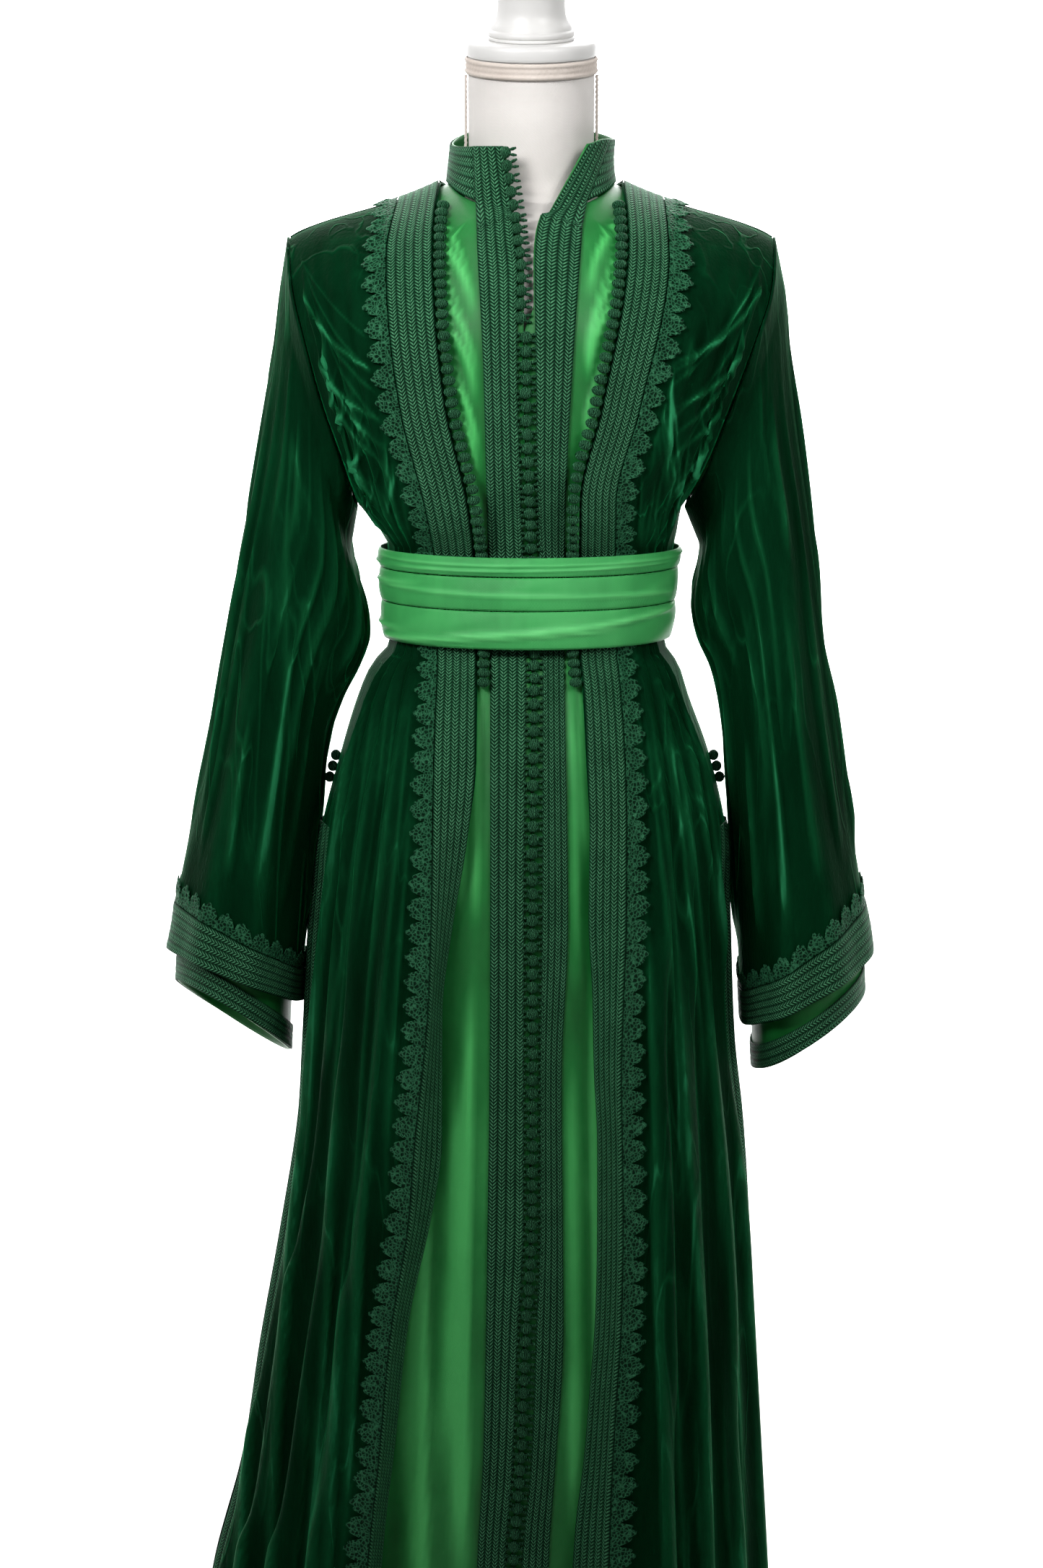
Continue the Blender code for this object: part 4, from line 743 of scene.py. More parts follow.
# %% Braid, lace and knots
def make_cord(name, dark, middle, light, pitch=None, net=False):
    """Silk cord: in herringbone where it has a stitch pitch, knotted into a net, or wound round itself, with
    painted shade between the cords.
    """
    material, tree, shader = new_material(
        name, Roughness=0.60, Specular_IOR_Level=0.16, Specular_Tint=(0.4, 1.0, 0.6, 1.0), Sheen_Weight=0.08,
        Sheen_Roughness=0.45, Sheen_Tint=(0.1, 0.85, 0.35, 1.0))
    place = node(tree, "ShaderNodeTexCoord").outputs
    yarn = use_group(tree, PATCHY, Vector=place["Object"], Large=55.0, Small=900.0)
    if pitch:
        stitch = use_group(tree, HERRINGBONE, Vector=place["UV"], Pitch=pitch)["Height"]
        depth = 0.0012
    elif net:
        # Painted shade: the middle of each cell, the net's opening, is painted dark.
        cells = node(tree, "ShaderNodeTexVoronoi", {"Vector": place["Object"], "Scale": 330.0},
                     feature="DISTANCE_TO_EDGE")
        stitch = calc(tree, "SUBTRACT", 1.0, calc(tree, "MULTIPLY", cells.outputs["Distance"], 3.4))
        depth = 0.0012
    else:
        wound = node(tree, "ShaderNodeTexWave", {"Vector": place["Object"], "Scale": 260.0,
                                                 "Distortion": 9.0, "Detail": 2.0, "Detail Scale": 1.4})
        stitch = wound.outputs["Fac"]
        depth = 0.0007
    # Painted shade and highlight: the colour goes dark in the low parts of the stitch pattern, between the
    # cords, and a little lighter where the mesh keeps a painted highlight.
    tone_and_painted_light = calc(tree, "MULTIPLY_ADD", yarn["Cloud"], 0.26, calc(tree, "MULTIPLY", stitch, 0.74))
    tone_and_painted_light = calc(tree, "MULTIPLY_ADD", painted_highlight_of(tree), 0.10, tone_and_painted_light)
    colour = colours_between(tree, tone_and_painted_light, (0.24, dark), (0.52, middle), (0.90, light))
    tree.links.new(colour, shader.inputs["Base Color"])
    height = calc(tree, "MULTIPLY_ADD", yarn["Speckle"], 0.25, stitch)
    bump(tree, shader, height, depth, 0.9)
    return material


# %% [markdown]
# The form's jersey, its gimp and the painted pieces are pale and plain. Each still has faint clouds
# and a fine relief, because no real surface has one flat colour.

# %% The form's jersey, its gimp, the turned pieces and the foot
def make_plain(name, low, high, roughness, size, depth, metallic=0.0, threads=0.0):
    """A pale finish with faint clouds, and threads where it is a cloth."""
    material, tree, shader = new_material(name, Metallic=metallic)
    place = node(tree, "ShaderNodeTexCoord").outputs
    yarn = use_group(tree, PATCHY, Vector=place["Object"], Large=9.0, Small=size)
    tree.links.new(colours_between(tree, yarn["Cloud"], (0.30, low), (0.68, high)),
                   shader.inputs["Base Color"])
    tree.links.new(calc(tree, "MULTIPLY_ADD", yarn["Speckle"], 0.14, roughness - 0.07),
                   shader.inputs["Roughness"])
    height = yarn["Speckle"]
    if threads:
        weave = use_group(tree, THREADS, Vector=place["UV"], Count=threads)["Height"]
        height = calc(tree, "MULTIPLY_ADD", height, 0.5, weave)
    bump(tree, shader, height, depth, 0.6)
    return material


FINISHES = {
    "velvet": make_velvet(),
    "satin": make_satin("emerald satin", (0.0010, 0.052, 0.0060), (0.0095, 0.168, 0.0300),
                        (0.062, 0.430, 0.105), 0.40),
    "sash": make_satin("sash satin", (0.016, 0.185, 0.042), (0.048, 0.350, 0.090),
                       (0.105, 0.520, 0.155), 0.38),
    "braid": make_cord("herringbone braid", (0.0005, 0.0068, 0.0025), (0.0085, 0.0530, 0.0230),
                       (0.0860, 0.2800, 0.1420), pitch=0.0030),
    "lace": make_cord("cord lace", (0.0004, 0.0075, 0.0026), (0.0046, 0.0400, 0.0165),
                      (0.0340, 0.1500, 0.0720), net=True),
    "knots": make_cord("knotted cord", (0.0005, 0.0075, 0.0028), (0.0065, 0.0440, 0.0185),
                       (0.0440, 0.1550, 0.0760)),
    "form_cover": make_plain("form jersey", (0.60, 0.570, 0.545), (0.66, 0.632, 0.608), 0.85, 700.0, 0.0002,
                             threads=4200.0),
    "turned_wood": make_plain("painted turned wood", (0.56, 0.553, 0.54), (0.60, 0.593, 0.582), 0.42, 90.0,
                              0.0002),
    "gimp": make_plain("twisted gimp", (0.44, 0.37, 0.32), (0.66, 0.60, 0.55), 0.75, 900.0, 0.0004),
    "painted_steel": make_plain("painted steel", (0.60, 0.60, 0.60), (0.70, 0.70, 0.70), 0.42, 250.0, 0.0002,
                                metallic=0.6)}
print("finishes:", len(bpy.data.materials))


# %% [markdown]
# ## The velvet fronts
# Each front is one long piece of velvet from the shoulder to the hem. From the centre outwards it
# carries a broad braid, the cord lace, pleated cloth, and at the side the narrow strip of the slit. We
# walk down the front row by row. Down to the underarm a row climbs towards the shoulder's tip, and
# below it rows are level. In the photo the chest creases fan out from the armhole, and the skirt hangs
# in long soft folds, so both get their own list.

# %% The velvet fronts' points
BRAID_COLUMNS = 13
LACE_COLUMNS = 6
CLOTH_COLUMNS = 84
STRIP_COLUMNS = 6
LACE_END = BRAID_COLUMNS + LACE_COLUMNS - 1
UPPER_ROWS = 118
BACK_UPPER_ROWS = 72
LOWER_ROWS = 118
CURVE = math.radians(80)
CROWDED = 1.35


def front_rows():
    """Heights at the open edge and at the side for each row of a front, from shoulder to hem."""
    tip, neck_z = OUTER_ARM.key[-1], float(SHOULDER("z", OUTER_NECK_X))
    shares = np.linspace(0, 1, UPPER_ROWS) ** CROWDED
    rows = [(blend(neck_z, UNDERARM_Z, share), blend(tip, UNDERARM_Z, share)) for share in shares]
    return rows + [(z, z) for z in np.linspace(UNDERARM_Z, HEM_Z, LOWER_ROWS + 1)[1:]]


def outer_front(name, side):
    """Points of a velvet front, and how strongly the tops of its pleats are painted as highlights."""
    edges = FRONT_LEFT if side > 0 else FRONT_RIGHT
    part = np.linspace(0, 1, CLOTH_COLUMNS + 1)
    steps = np.sin(CURVE * part) / math.sin(CURVE)
    points, crest_highlights = [], []
    for z_edge, z_side in front_rows():
        x_edge, x_braid = float(edges("edge", z_edge)), float(edges("braid", z_edge))
        above = z_side >= UNDERARM_Z
        x_side = float((OUTER_ARM if above else OUTER)(name, z_side))
        share = float(slit_share(z_side))

        def height(x):
            return row_height(x, x_edge, z_edge, x_side, z_side) if above else z_side + 0 * x

        def surface(x):
            if above:
                return layer_depth("outer", x, height(x), side, "front")
            return skirt_depth(x, z_side, side, "front")

        strip = SLIT_BRAID * math.sqrt(0.5) * blend(0.6, 1.0, share)
        x_strip = x_side - strip
        x_lace = min(x_along(surface, x_braid, LACE_WIDTH), x_strip - 0.012)
        x = np.concatenate((np.linspace(x_edge, x_braid, BRAID_COLUMNS),
                            np.linspace(x_braid, x_lace, LACE_COLUMNS)[1:],
                            blend(x_lace, x_strip, steps)[1:],
                            np.linspace(x_strip, x_side, STRIP_COLUMNS)[1:]))
        z, y = height(x), surface(x)
        tucked = layer_depth("inner", x_edge, z_edge, side, "front") + TUCK("room", z_edge)
        first = blend(y[0], tucked, float(TUCK("share", z_edge)))
        y[:BRAID_COLUMNS] = np.linspace(first, y[BRAID_COLUMNS - 1], BRAID_COLUMNS)
        last = blend(y[-1], SLIT_EDGE, share)
        y[-STRIP_COLUMNS:] = np.linspace(y[-STRIP_COLUMNS], last, STRIP_COLUMNS)
        y = np.maximum(y, SEAM + 0.0006 * (z_side > UNDERARM_Z))
        out = np.stack([x, -y], axis=1)
        direction = np.gradient(out, axis=0)
        normal = np.stack([direction[:, 1], -direction[:, 0]], axis=1)
        normal /= np.linalg.norm(normal, axis=1)[:, None]
        normal *= np.sign(np.sum(normal * out, axis=1))[:, None]
        crest_and_highlight = np.zeros(len(x))
        cloth = slice(LACE_END, LACE_END + CLOTH_COLUMNS + 1)
        crest_and_highlight[cloth] = pleat(part, z_side, PLEATS, 1 + side) * smoothstep(0, 0.03, part)
        out += normal * (crest_and_highlight * float(FOLDS("amount", z_side)))[:, None]
        points.append(np.stack([side * out[:, 0], out[:, 1], z], axis=1))
        # Painted highlights on the tops of the pleats, on the skirt only.
        crest_highlights.append(crest_and_highlight ** 3 * float(smoothstep(1.25, 0.95, z_side)))
    return np.array(points), np.array(crest_highlights)


def chest_creases(seed):
    """Creases that fan out from the armhole towards the lace and down to the sash."""
    creases = []
    for k, odd in strays(17, 2.3, seed):
        start = (0.200 - 0.0048 * k + 0.003 * odd, 1.425 - 0.0100 * k + 0.008 * math.sin(1.1 * k))
        end = (0.100 + 0.0022 * k + 0.005 * odd, 1.330 - 0.0120 * k)
        creases.append((start, end, 0.016 + 0.006 * odd, 0.0018 + 0.0004 * odd, 0.0019 + 0.0007 * odd))
    for k, odd in strays(9, 1.7, 2 * seed):
        creases.append(((0.124 - 0.004 * k, 1.41 - 0.004 * k), (0.094 + 0.004 * k, 1.25 - 0.008 * k),
                        0.008 * odd, 0.0018, 0.0015 + 0.0007 * odd))
    for k, odd in strays(13, 2.9, seed):
        creases.append(((0.078 + 0.0058 * k, 1.235 + 0.04 * odd), (0.080 + 0.0035 * k, 1.175),
                        0.003 * odd, 0.0019, 0.0016 + 0.0005 * odd))
    return creases


def skirt_creases(seed):
    """Long creases in the skirt, from below the sash towards the hem."""
    creases = []
    for k, odd in strays(15, 1.9, 1.3 * seed):
        x = 0.084 + 0.0070 * k + 0.002 * math.sin(4.1 * k)
        creases.append(((x * 0.90, 1.075 - 0.02 * (1 + odd)), (x * 1.18 + 0.006 * odd, 0.72 - 0.18 * odd),
                        0.007 * odd, 0.0026 + 0.0010 * odd, 0.0026 + 0.0014 * odd))
    for k, odd in strays(11, 2.7, 0.6 * seed):
        x = 0.100 + 0.012 * k + 0.003 * math.sin(3.3 * k)
        creases.append(((x * 0.93, 0.64 + 0.16 * odd), (x * 1.14, 0.10 - 0.05 * odd),
                        0.012 * odd, 0.0042 + 0.0014 * odd, 0.0036 + 0.0018 * odd))
    return creases


# %% [markdown]
# The creases push the points out along their normals, but not under the braid and the lace, which are stiff,
# and hardly under the sash. The same heights, with the pleats, are kept as painted highlights on the velvet,
# painted weaker below the waist.

# %% The velvet fronts' meshes
FRONT = {}
for name, side in SIDES:
    points, crest_and_highlight = outer_front(name, side)
    normal = normals_of(points)
    down = points[:, :, 2]
    wrinkle = creased(np.abs(points[:, :, 0]), down, chest_creases(side) + skirt_creases(side))
    column = np.arange(points.shape[1])
    free = smoothstep(LACE_END - 4, LACE_END + 5, column) * smoothstep(points.shape[1] - 4,
                                                                      points.shape[1] - 12, column)
    wrinkle = wrinkle * free * (1 - 0.75 * smoothstep(1.085, 1.10, down) * smoothstep(1.185, 1.17, down))
    creased_points = points + normal * wrinkle[:, :, None]
    FRONT[name] = (creased_points, normals_of(creased_points))
    # Painted highlights on the tops of the pleats and creases, painted weaker below the waist as painted
    # shade where less light falls.
    painted_highlight = np.clip(0.22 * crest_and_highlight + wrinkle / 0.0038, 0, 1) * blend(0.55, 1.0, smoothstep(0.90, 1.10, down))
    cloth(f"outer_front_{name}", creased_points, normal, "velvet", "hung", ["form_body"], crest_and_highlight=painted_highlight)


# %% [markdown]
# ## The velvet back and sleeves
# The back is one panel across, cut with a shallow dip at the neck. The photo never shows it, so it
# hangs as such a back does: smooth over the shoulder blades, with soft folds below the sash. Each
# sleeve is a tube that starts at the armhole's seam and widens to the cuff, flattened as an empty
# sleeve hangs, with long creases that start at the shoulder.

# %% The back's points
BACK_COLUMNS = 66


def back_rim(layer, x):
    """Height of the back neckline."""
    half, dip = CUTS[layer][2:]
    top = SHOULDER("z", half) - LAYERS[layer][1]
    return top - dip * (1 - np.minimum(np.abs(x) / half, 1) ** 2)


def back_panel(layer, upper, lower, steps):
    """Points of a back, from the wearer's left side to the right one, and its pleats' heights, kept as
    painted highlights.
    """
    table, drop = LAYERS[layer]
    arm, bottom, neck, dip = CUTS[layer]
    tip = arm.key[-1]
    part = np.linspace(0, 1, steps + 1)
    angle = np.sin(CURVE * part) / math.sin(CURVE)
    rows = [(share, blend(tip, bottom, share)) for share in np.linspace(0, 1, upper) ** CROWDED]
    rows += [(None, z) for z in np.linspace(bottom, HEM_Z, lower + 1)[1:]]
    points, crest_highlights = [], []
    for share, z_side in rows:
        above, halves, crest_highlight_halves = share is not None, [], []
        for name, side in SIDES:
            x_side = float((arm if above else table)(name, z_side))
            plain = x_side * blend(part, angle, 0.6 if above else 1.0)
            if above:
                knee = 0.5
                near = neck * (1 - np.maximum(1 - part / knee, 0) ** 2.2)
                kinked = np.where(part <= knee, near, neck + (x_side - neck) * (part - knee) / (1 - knee))
                x = blend(kinked, plain, smoothstep(0.0, 0.6, share))
                top = np.where(x <= neck + 1e-6, back_rim(layer, x), SHOULDER("z", x) - drop)
                z = blend(top, bottom, share)
                edge = blend(SHOULDER("z", x_side) - drop, bottom, share)
                z = z + (z_side - edge) * part ** 2
                y = layer_depth(layer, x, z, side, "back")
            else:
                x, z = plain, z_side + 0 * part
                y = (skirt_depth(x, z_side, side, "back") if layer == "outer"
                     else layer_depth(layer, x, z, side, "back"))
            if layer == "outer" and not above:
                y[-1] = blend(y[-1], SLIT_EDGE, float(slit_share(z_side)))
            y = np.maximum(y, SEAM + 0.0006 * above)
            crest_and_highlight = np.zeros(steps + 1)
            if layer == "outer":
                amount = float(FOLDS("amount", z_side)) * (1 if not above else smoothstep(0.3, 1.0, share))
                crest_and_highlight = pleat(part, z_side, BACK_PLEATS / 2, 5 + side) * smoothstep(1.0, 0.94, part)
                y = y + amount * crest_and_highlight * np.sqrt(np.maximum(1 - (x / x_side) ** 2, 0))
            halves.append(np.stack([side * x, y, z], axis=1))
            crest_highlight_halves.append(crest_and_highlight)
        points.append(np.concatenate([halves[0][::-1], halves[1][1:]]))
        crest_highlights.append(np.concatenate([crest_highlight_halves[0][::-1], crest_highlight_halves[1][1:]]))
    return np.array(points), np.array(crest_highlights)


def back_creases(seed):
    """Creases of the back: across the shoulder blades, into the waist and down the skirt."""
    creases = []
    for k, odd in strays(8, 2.1, seed):
        out = 1 if k % 2 else -1
        start = (out * (0.175 - 0.008 * k), 1.39 - 0.012 * k)
        end = (out * (0.05 + 0.012 * k), 1.24 - 0.005 * k)
        creases.append((start, end, out * 0.012, 0.0036, 0.0028 + 0.001 * odd))
    for k, odd in strays(12, 2.6, seed):
        x = -0.105 + 0.019 * k
        creases.append(((x, 1.25 + 0.03 * odd), (x * 0.95, 1.06), 0.003 * odd, 0.0030, 0.0020 + 0.0006 * odd))
    for k, odd in strays(14, 1.6, seed):
        x = -0.135 + 0.021 * k
        creases.append(((x, 1.04 - 0.02 * odd), (x * 1.3, 0.45 + 0.2 * odd), 0.008 * odd, 0.0060,
                        0.0040 + 0.0014 * odd))
    return creases


points, crest_and_highlight = back_panel("outer", BACK_UPPER_ROWS, LOWER_ROWS, BACK_COLUMNS)
normal = normals_of(points)
across = points[:, :, 0]
wrinkle = creased(across, points[:, :, 2], back_creases(0.7))
column = np.arange(points.shape[1])
wrinkle = wrinkle * smoothstep(2, 10, column) * smoothstep(points.shape[1] - 3, points.shape[1] - 11, column)
BACK = points + normal * wrinkle[:, :, None]
BACK_NORMAL = normals_of(BACK)
# Painted highlights on the tops of the pleats below the waist and of the creases.
painted_highlight = np.clip(0.5 * crest_and_highlight ** 3 * smoothstep(1.2, 0.95, points[:, :, 2]) + wrinkle / 0.009, 0, 1)
cloth("outer_back", BACK, normal, "velvet", "hung", ["form_body"], crest_and_highlight=painted_highlight)

# %% [markdown]
# A sleeve could be a bent cylinder. Rings between two measured lines, one over the arm and one under
# it, follow the real outline better, and they end in the slanting cuff by themselves.

# %% The sleeves' points
SLEEVE_COLUMNS = 120
SLEEVE_START = 0.07
SLEEVE_FOLD = 0.005
CUFF_ROWS = 11
NESTLED = {"left": 0.0, "right": 0.0045}
SLEEVE_LENGTH = 0.56
BRAID_SHARE = 1 - CUFF_BRAID / SLEEVE_LENGTH
LACE_SHARE = 1 - (CUFF_BRAID + LACE_WIDTH) / SLEEVE_LENGTH


def arm_ring(layer, name, side, angle):
    """The seam where a sleeve is set in: down the front, then up the back."""
    arm, bottom = CUTS[layer][:2]
    wall, tight = (VELVET, 1.0) if layer == "outer" else (SATIN, 0.88)
    z = blend(bottom, arm.key[-1], (1 + np.cos(angle)) / 2)
    x = arm(name, z)
    front = -layer_depth(layer, x, z, side, "front")
    back = layer_depth(layer, x, z, side, "back")
    y = tight * np.where(np.sin(angle) >= 0, front, back)
    return np.stack([side * (x + (wall + 0.0008)), y, z], axis=1)


def sleeve_ring(name, side, share, angle, inset, drop=None):
    """One oval ring of a hanging sleeve, at a share of the way to the cuff."""
    top_end, bottom_end, rise = CUFF[name]
    z_top = blend(OUTER_ARM.key[-1], top_end, share)
    z_bottom = blend(UNDERARM_Z, bottom_end, share)
    top = np.array([side * (float(SLEEVE_OUT(name, z_top)) - inset), 0, z_top])
    near = NESTLED[name] * float(smoothstep(1.02, 0.96, z_bottom) * smoothstep(0.77, 0.87, z_bottom))
    bottom = np.array([side * (float(SLEEVE_IN(name, z_bottom)) - near + inset), 0, z_bottom])
    middle = (top + bottom) / 2 + np.array([0, float(SLEEVE_DEPTH("back", share)), 0])
    wide = float(SLEEVE_DEPTH("depth", share)) - inset
    wide_half = np.array([0, -wide, rise * share ** 2])
    ring = middle + np.outer(np.cos(angle), (top - bottom) / 2) + np.outer(np.sin(angle), wide_half)
    if drop is not None:
        far = (1 - np.cos(angle - math.radians(60))) / 2
        ring = ring + np.outer(blend(drop[0], drop[1], far), np.array([side * 0.05, 0, -1]))
    return ring


def velvet_sleeve_ring(name, side, share, angle):
    """A ring of the velvet sleeve, with its upright folds."""
    if share < SLEEVE_START:
        ring = blend(arm_ring("outer", name, side, angle),
                     sleeve_ring(name, side, SLEEVE_START, angle, 0.0), share / SLEEVE_START)
    else:
        ring = sleeve_ring(name, side, share, angle, 0.0)
    out = ring - ring.mean(axis=0)
    out /= np.linalg.norm(out, axis=1)[:, None]
    wave = np.sin(4 * (angle + 0.10 * uneven(3 * share, side))) ** 2 * np.abs(np.sin(angle))
    started = smoothstep(0.1, 0.6, share)
    return ring + out * (SLEEVE_FOLD * started * wave)[:, None], wave * started


def sleeve_grid(name, side, shares, angle):
    rings = [velvet_sleeve_ring(name, side, share, angle) for share in shares]
    return np.array([ring for ring, wave in rings]), np.array([wave for ring, wave in rings])


def sleeve_creases(seed):
    """Creases down a sleeve, over the angle round it and the share of its length."""
    creases = []
    for k, odd in strays(24, 2.4, seed):
        angle = 0.25 + k * 0.255
        start = (angle, 0.02 + 0.05 * (1 + odd))
        end = (angle + 0.16 * odd, 0.55 + 0.30 * math.sin(1.3 * k))
        creases.append((start, end, 0.05 * odd, 0.040 + 0.012 * odd, 0.0036 + 0.0014 * odd))
    for k, odd in strays(12, 1.8, 2 * seed):
        angle = 0.3 + k * 0.5
        creases.append(((angle, 0.45 + 0.1 * odd), (angle + 0.10 * odd, 0.88), 0.06 * odd, 0.055,
                        0.0045 + 0.0015 * odd))
    return creases


# %% The sleeves' meshes
SLEEVE = {}
ANGLES = turns(SLEEVE_COLUMNS)
SHARES = np.concatenate((np.linspace(0, LACE_SHARE, 92)[:-1], np.linspace(LACE_SHARE, BRAID_SHARE, 6)[:-1],
                         np.linspace(BRAID_SHARE, 1.0, CUFF_ROWS)))
for name, side in SIDES:
    points, wave = sleeve_grid(name, side, SHARES, ANGLES)
    normal = normals_of(points, True)
    wrinkle = creased(ANGLES[None, :], SHARES[:, None], sleeve_creases(side))
    wrinkle = wrinkle * smoothstep(LACE_SHARE - 0.01, LACE_SHARE - 0.10, SHARES)[:, None]
    wrinkle = wrinkle * smoothstep(0.0, 0.06, SHARES)[:, None]
    points = points + normal * wrinkle[:, :, None]
    SLEEVE[name] = (points, normals_of(points, True))
    # Painted highlights on the tops of the sleeve's upright folds and creases.
    painted_highlight = np.clip(0.25 * wave ** 3 + wrinkle / 0.0085, 0, 1)
    cloth(f"outer_sleeve_{name}", points, normal, "velvet", "hung", [f"outer_front_{name}"], True, painted_highlight)


# %% [markdown]
# ## Trimmings
# A braid is sewn flat on the cloth's edge, so it is made from the cloth's own points, moved out along
# their normals. Each band of herringbone stands up a little between two furrows, and its stitches
# come from the finish. Rows are spaced evenly along the strip, because the stitches are.

# %% Strips that follow a panel
BRAID_STEP = 0.0045
BRAID_INSET = 0.012


def refine(points, rows):
    """Rows of a grid of points read at fractions of the row number."""
    low = np.minimum(np.floor(rows).astype(int), len(points) - 2)
    part = (rows - low).reshape(-1, *([1] * (points.ndim - 1)))
    return points[low] * (1 - part) + points[low + 1] * part


def even_rows(line, pitch, steps):
    """Row numbers that cut a line of points into even steps: so many for each pitch."""
    lengths = np.linalg.norm(np.diff(line, axis=0), axis=1)
    count = max(1, round(lengths.sum() / pitch)) * steps
    run = np.concatenate(([0], np.cumsum(lengths)))
    return np.interp(np.linspace(0, run[-1], count + 1), run, np.arange(len(line)))


def crosswise(grid):
    """A grid of points with its rows and columns exchanged."""
    return grid.transpose(1, 0, 2)


def read_across(points, places):
    """Columns of a strip read at fractions of its width."""
    return crosswise(refine(crosswise(points), np.asarray(places) * (points.shape[1] - 1)))


def braid_strip(name, points, normal, bands, lift=LIFT, thickness=BRAID, around=False, node_name=None):
    """A ribbed braid on a strip of cloth. Rows run along it and columns across it."""
    if not around:
        rows = even_rows(points[:, points.shape[1] // 2], BRAID_STEP, 1)
        points, normal = refine(points, rows), refine(normal, rows)
    t = np.linspace(0, 1, 4 * bands + 1)
    places = BRAID_INSET + t * (1 - 2 * BRAID_INSET)
    points, normal = read_across(points, places), read_across(normal, places)
    rib = np.abs(np.sin(math.pi * bands * t)) ** 0.6
    edge = np.minimum(smoothstep(0, 0.05, t), smoothstep(1, 0.95, t))
    height = lift + thickness * (0.84 + 0.16 * rib * edge)
    place = points + normal * height[None, :, None]
    along = lengths_of(points)[:, :, 1]
    if around:
        along = np.concatenate([along, along[-1:] + (along[-1:] - along[-2:-1])])
    uv = np.stack([np.broadcast_to(t * bands, along.shape), along], axis=2)
    # The ribs' height is kept as a painted highlight: the finish paints the ribs a little lighter.
    crest_and_highlight = np.broadcast_to(rib, points.shape[:2])
    if around:
        place, normal, uv, crest_and_highlight = crosswise(place), crosswise(normal), crosswise(uv), crest_and_highlight.T
    grid_piece(name, place, normal, "braid", around, uv, crest_and_highlight, thickness * 0.6, node_name)


# %% [markdown]
# The lace is a row of small fans, each worked from one cord that runs out and back in three loops. We
# lay a narrow grid along its line and let its outer edge swing in and out once for each fan. The rim
# and the loops stand up.

# %% Scalloped lace
FAN_STEPS = 16


def lace_strip(name, base, tips, base_normal, tip_normal, phase, around=False, lift=LACE_LIFT):
    """Lace between two lines of points, with its tips at the second; the phase counts its fans."""
    swing = np.sin(math.pi * phase) ** 0.8
    petals = np.abs(np.sin(3 * math.pi * phase)) ** 0.7
    stray = uneven(0.37 * np.arange(len(base)), 1.0)
    reach = np.clip(0.38 + 0.42 * swing + 0.17 * petals * (0.4 + swing) + 0.05 * stray, 0.3, 1.0)
    t = np.linspace(0.03, 1.0, 8)
    place = base[:, None] + (tips - base)[:, None] * (reach[:, None] * t)[:, :, None]
    turn = blend(base_normal[:, None], tip_normal[:, None], (reach[:, None] * t)[:, :, None])
    turn /= np.linalg.norm(turn, axis=2)[:, :, None]
    loops = np.abs(np.sin(3 * math.pi * phase))[:, None] * smoothstep(0.25, 0.6, t)[None, :]
    rim = np.exp(-((t - 0.9) / 0.11) ** 2)[None, :] + 0.8 * np.exp(-((t - 0.1) / 0.09) ** 2)[None, :]
    ripple = 0.25 * np.abs(np.sin(15 * math.pi * t))[None, :] * loops
    relief = np.clip(0.75 * loops + 0.8 * rim + ripple, 0, 1.3)
    place = place + turn * (lift + BRAID * (0.25 + 0.62 * relief))[:, :, None]
    if around:
        place, turn, relief = crosswise(place), crosswise(turn), relief.T
    # The raised loops and rim are kept as a painted highlight, a little lighter in the finish.
    grid_piece(name, place, turn, "lace", around, crest_and_highlight=np.clip(relief - 0.3, 0, 1), wall=BRAID * 0.5)


def side_lace(name, points, normal, base, tip):
    """Lace beside a front's braid, one fan to each pitch."""
    rows = even_rows(points[:, base], LACE_PITCH, FAN_STEPS)
    phase = (np.arange(len(rows)) % FAN_STEPS) / FAN_STEPS
    pair, turn = refine(points[:, [base, tip]], rows), refine(normal[:, [base, tip]], rows)
    lace_strip(name, pair[:, 0], pair[:, 1], turn[:, 0], turn[:, 1], phase)


# %% [markdown]
# The buttons are balls of knotted cord, each worked by hand, that pass through cord loops. One is a
# small sphere, pressed a little flat, with two loops on each side. There are about two hundred, so
# each has only a few dozen faces, and the wound cord is in the finish.

# %% Knot buttons
def add_ball(bm, centre, axes, sizes, u=12, v=8):
    """A flattened ball: its half sizes along three axes."""
    turn = Matrix([list(axis) for axis in axes]).transposed().to_4x4()
    place = Matrix.Translation(Vector(centre)) @ turn @ Matrix.Diagonal((*sizes, 1.0))
    bmesh.ops.create_uvsphere(bm, u_segments=u, v_segments=v, radius=1.0, matrix=place)


def knot_shape(pitch, width, height, loops):
    """One knot with its loops: across is x, along its row is y, and out of the cloth is z."""
    bm = bmesh.new()
    axes = np.eye(3)
    add_ball(bm, (0, 0, height * 0.46), axes, (width / 2, pitch * 0.455, height * 0.60))
    for way in loops:
        for step in (-0.22, 0.22):
            reach = np.array([way * 1.0, step * 0.9, 0.0])
            reach /= np.linalg.norm(reach)
            foot = (way * width * 0.62, pitch * step, height * 0.16)
            sizes = (width * 0.42, pitch * 0.13, height * 0.28)
            add_ball(bm, foot, (reach, np.cross(axes[2], reach), axes[2]), sizes, 6, 5)
    return mesh_of("one knot", bm)


def unit(vector):
    return vector / np.linalg.norm(vector)


def moved_x(distance):
    return np.array([distance, 0.0, 0.0])


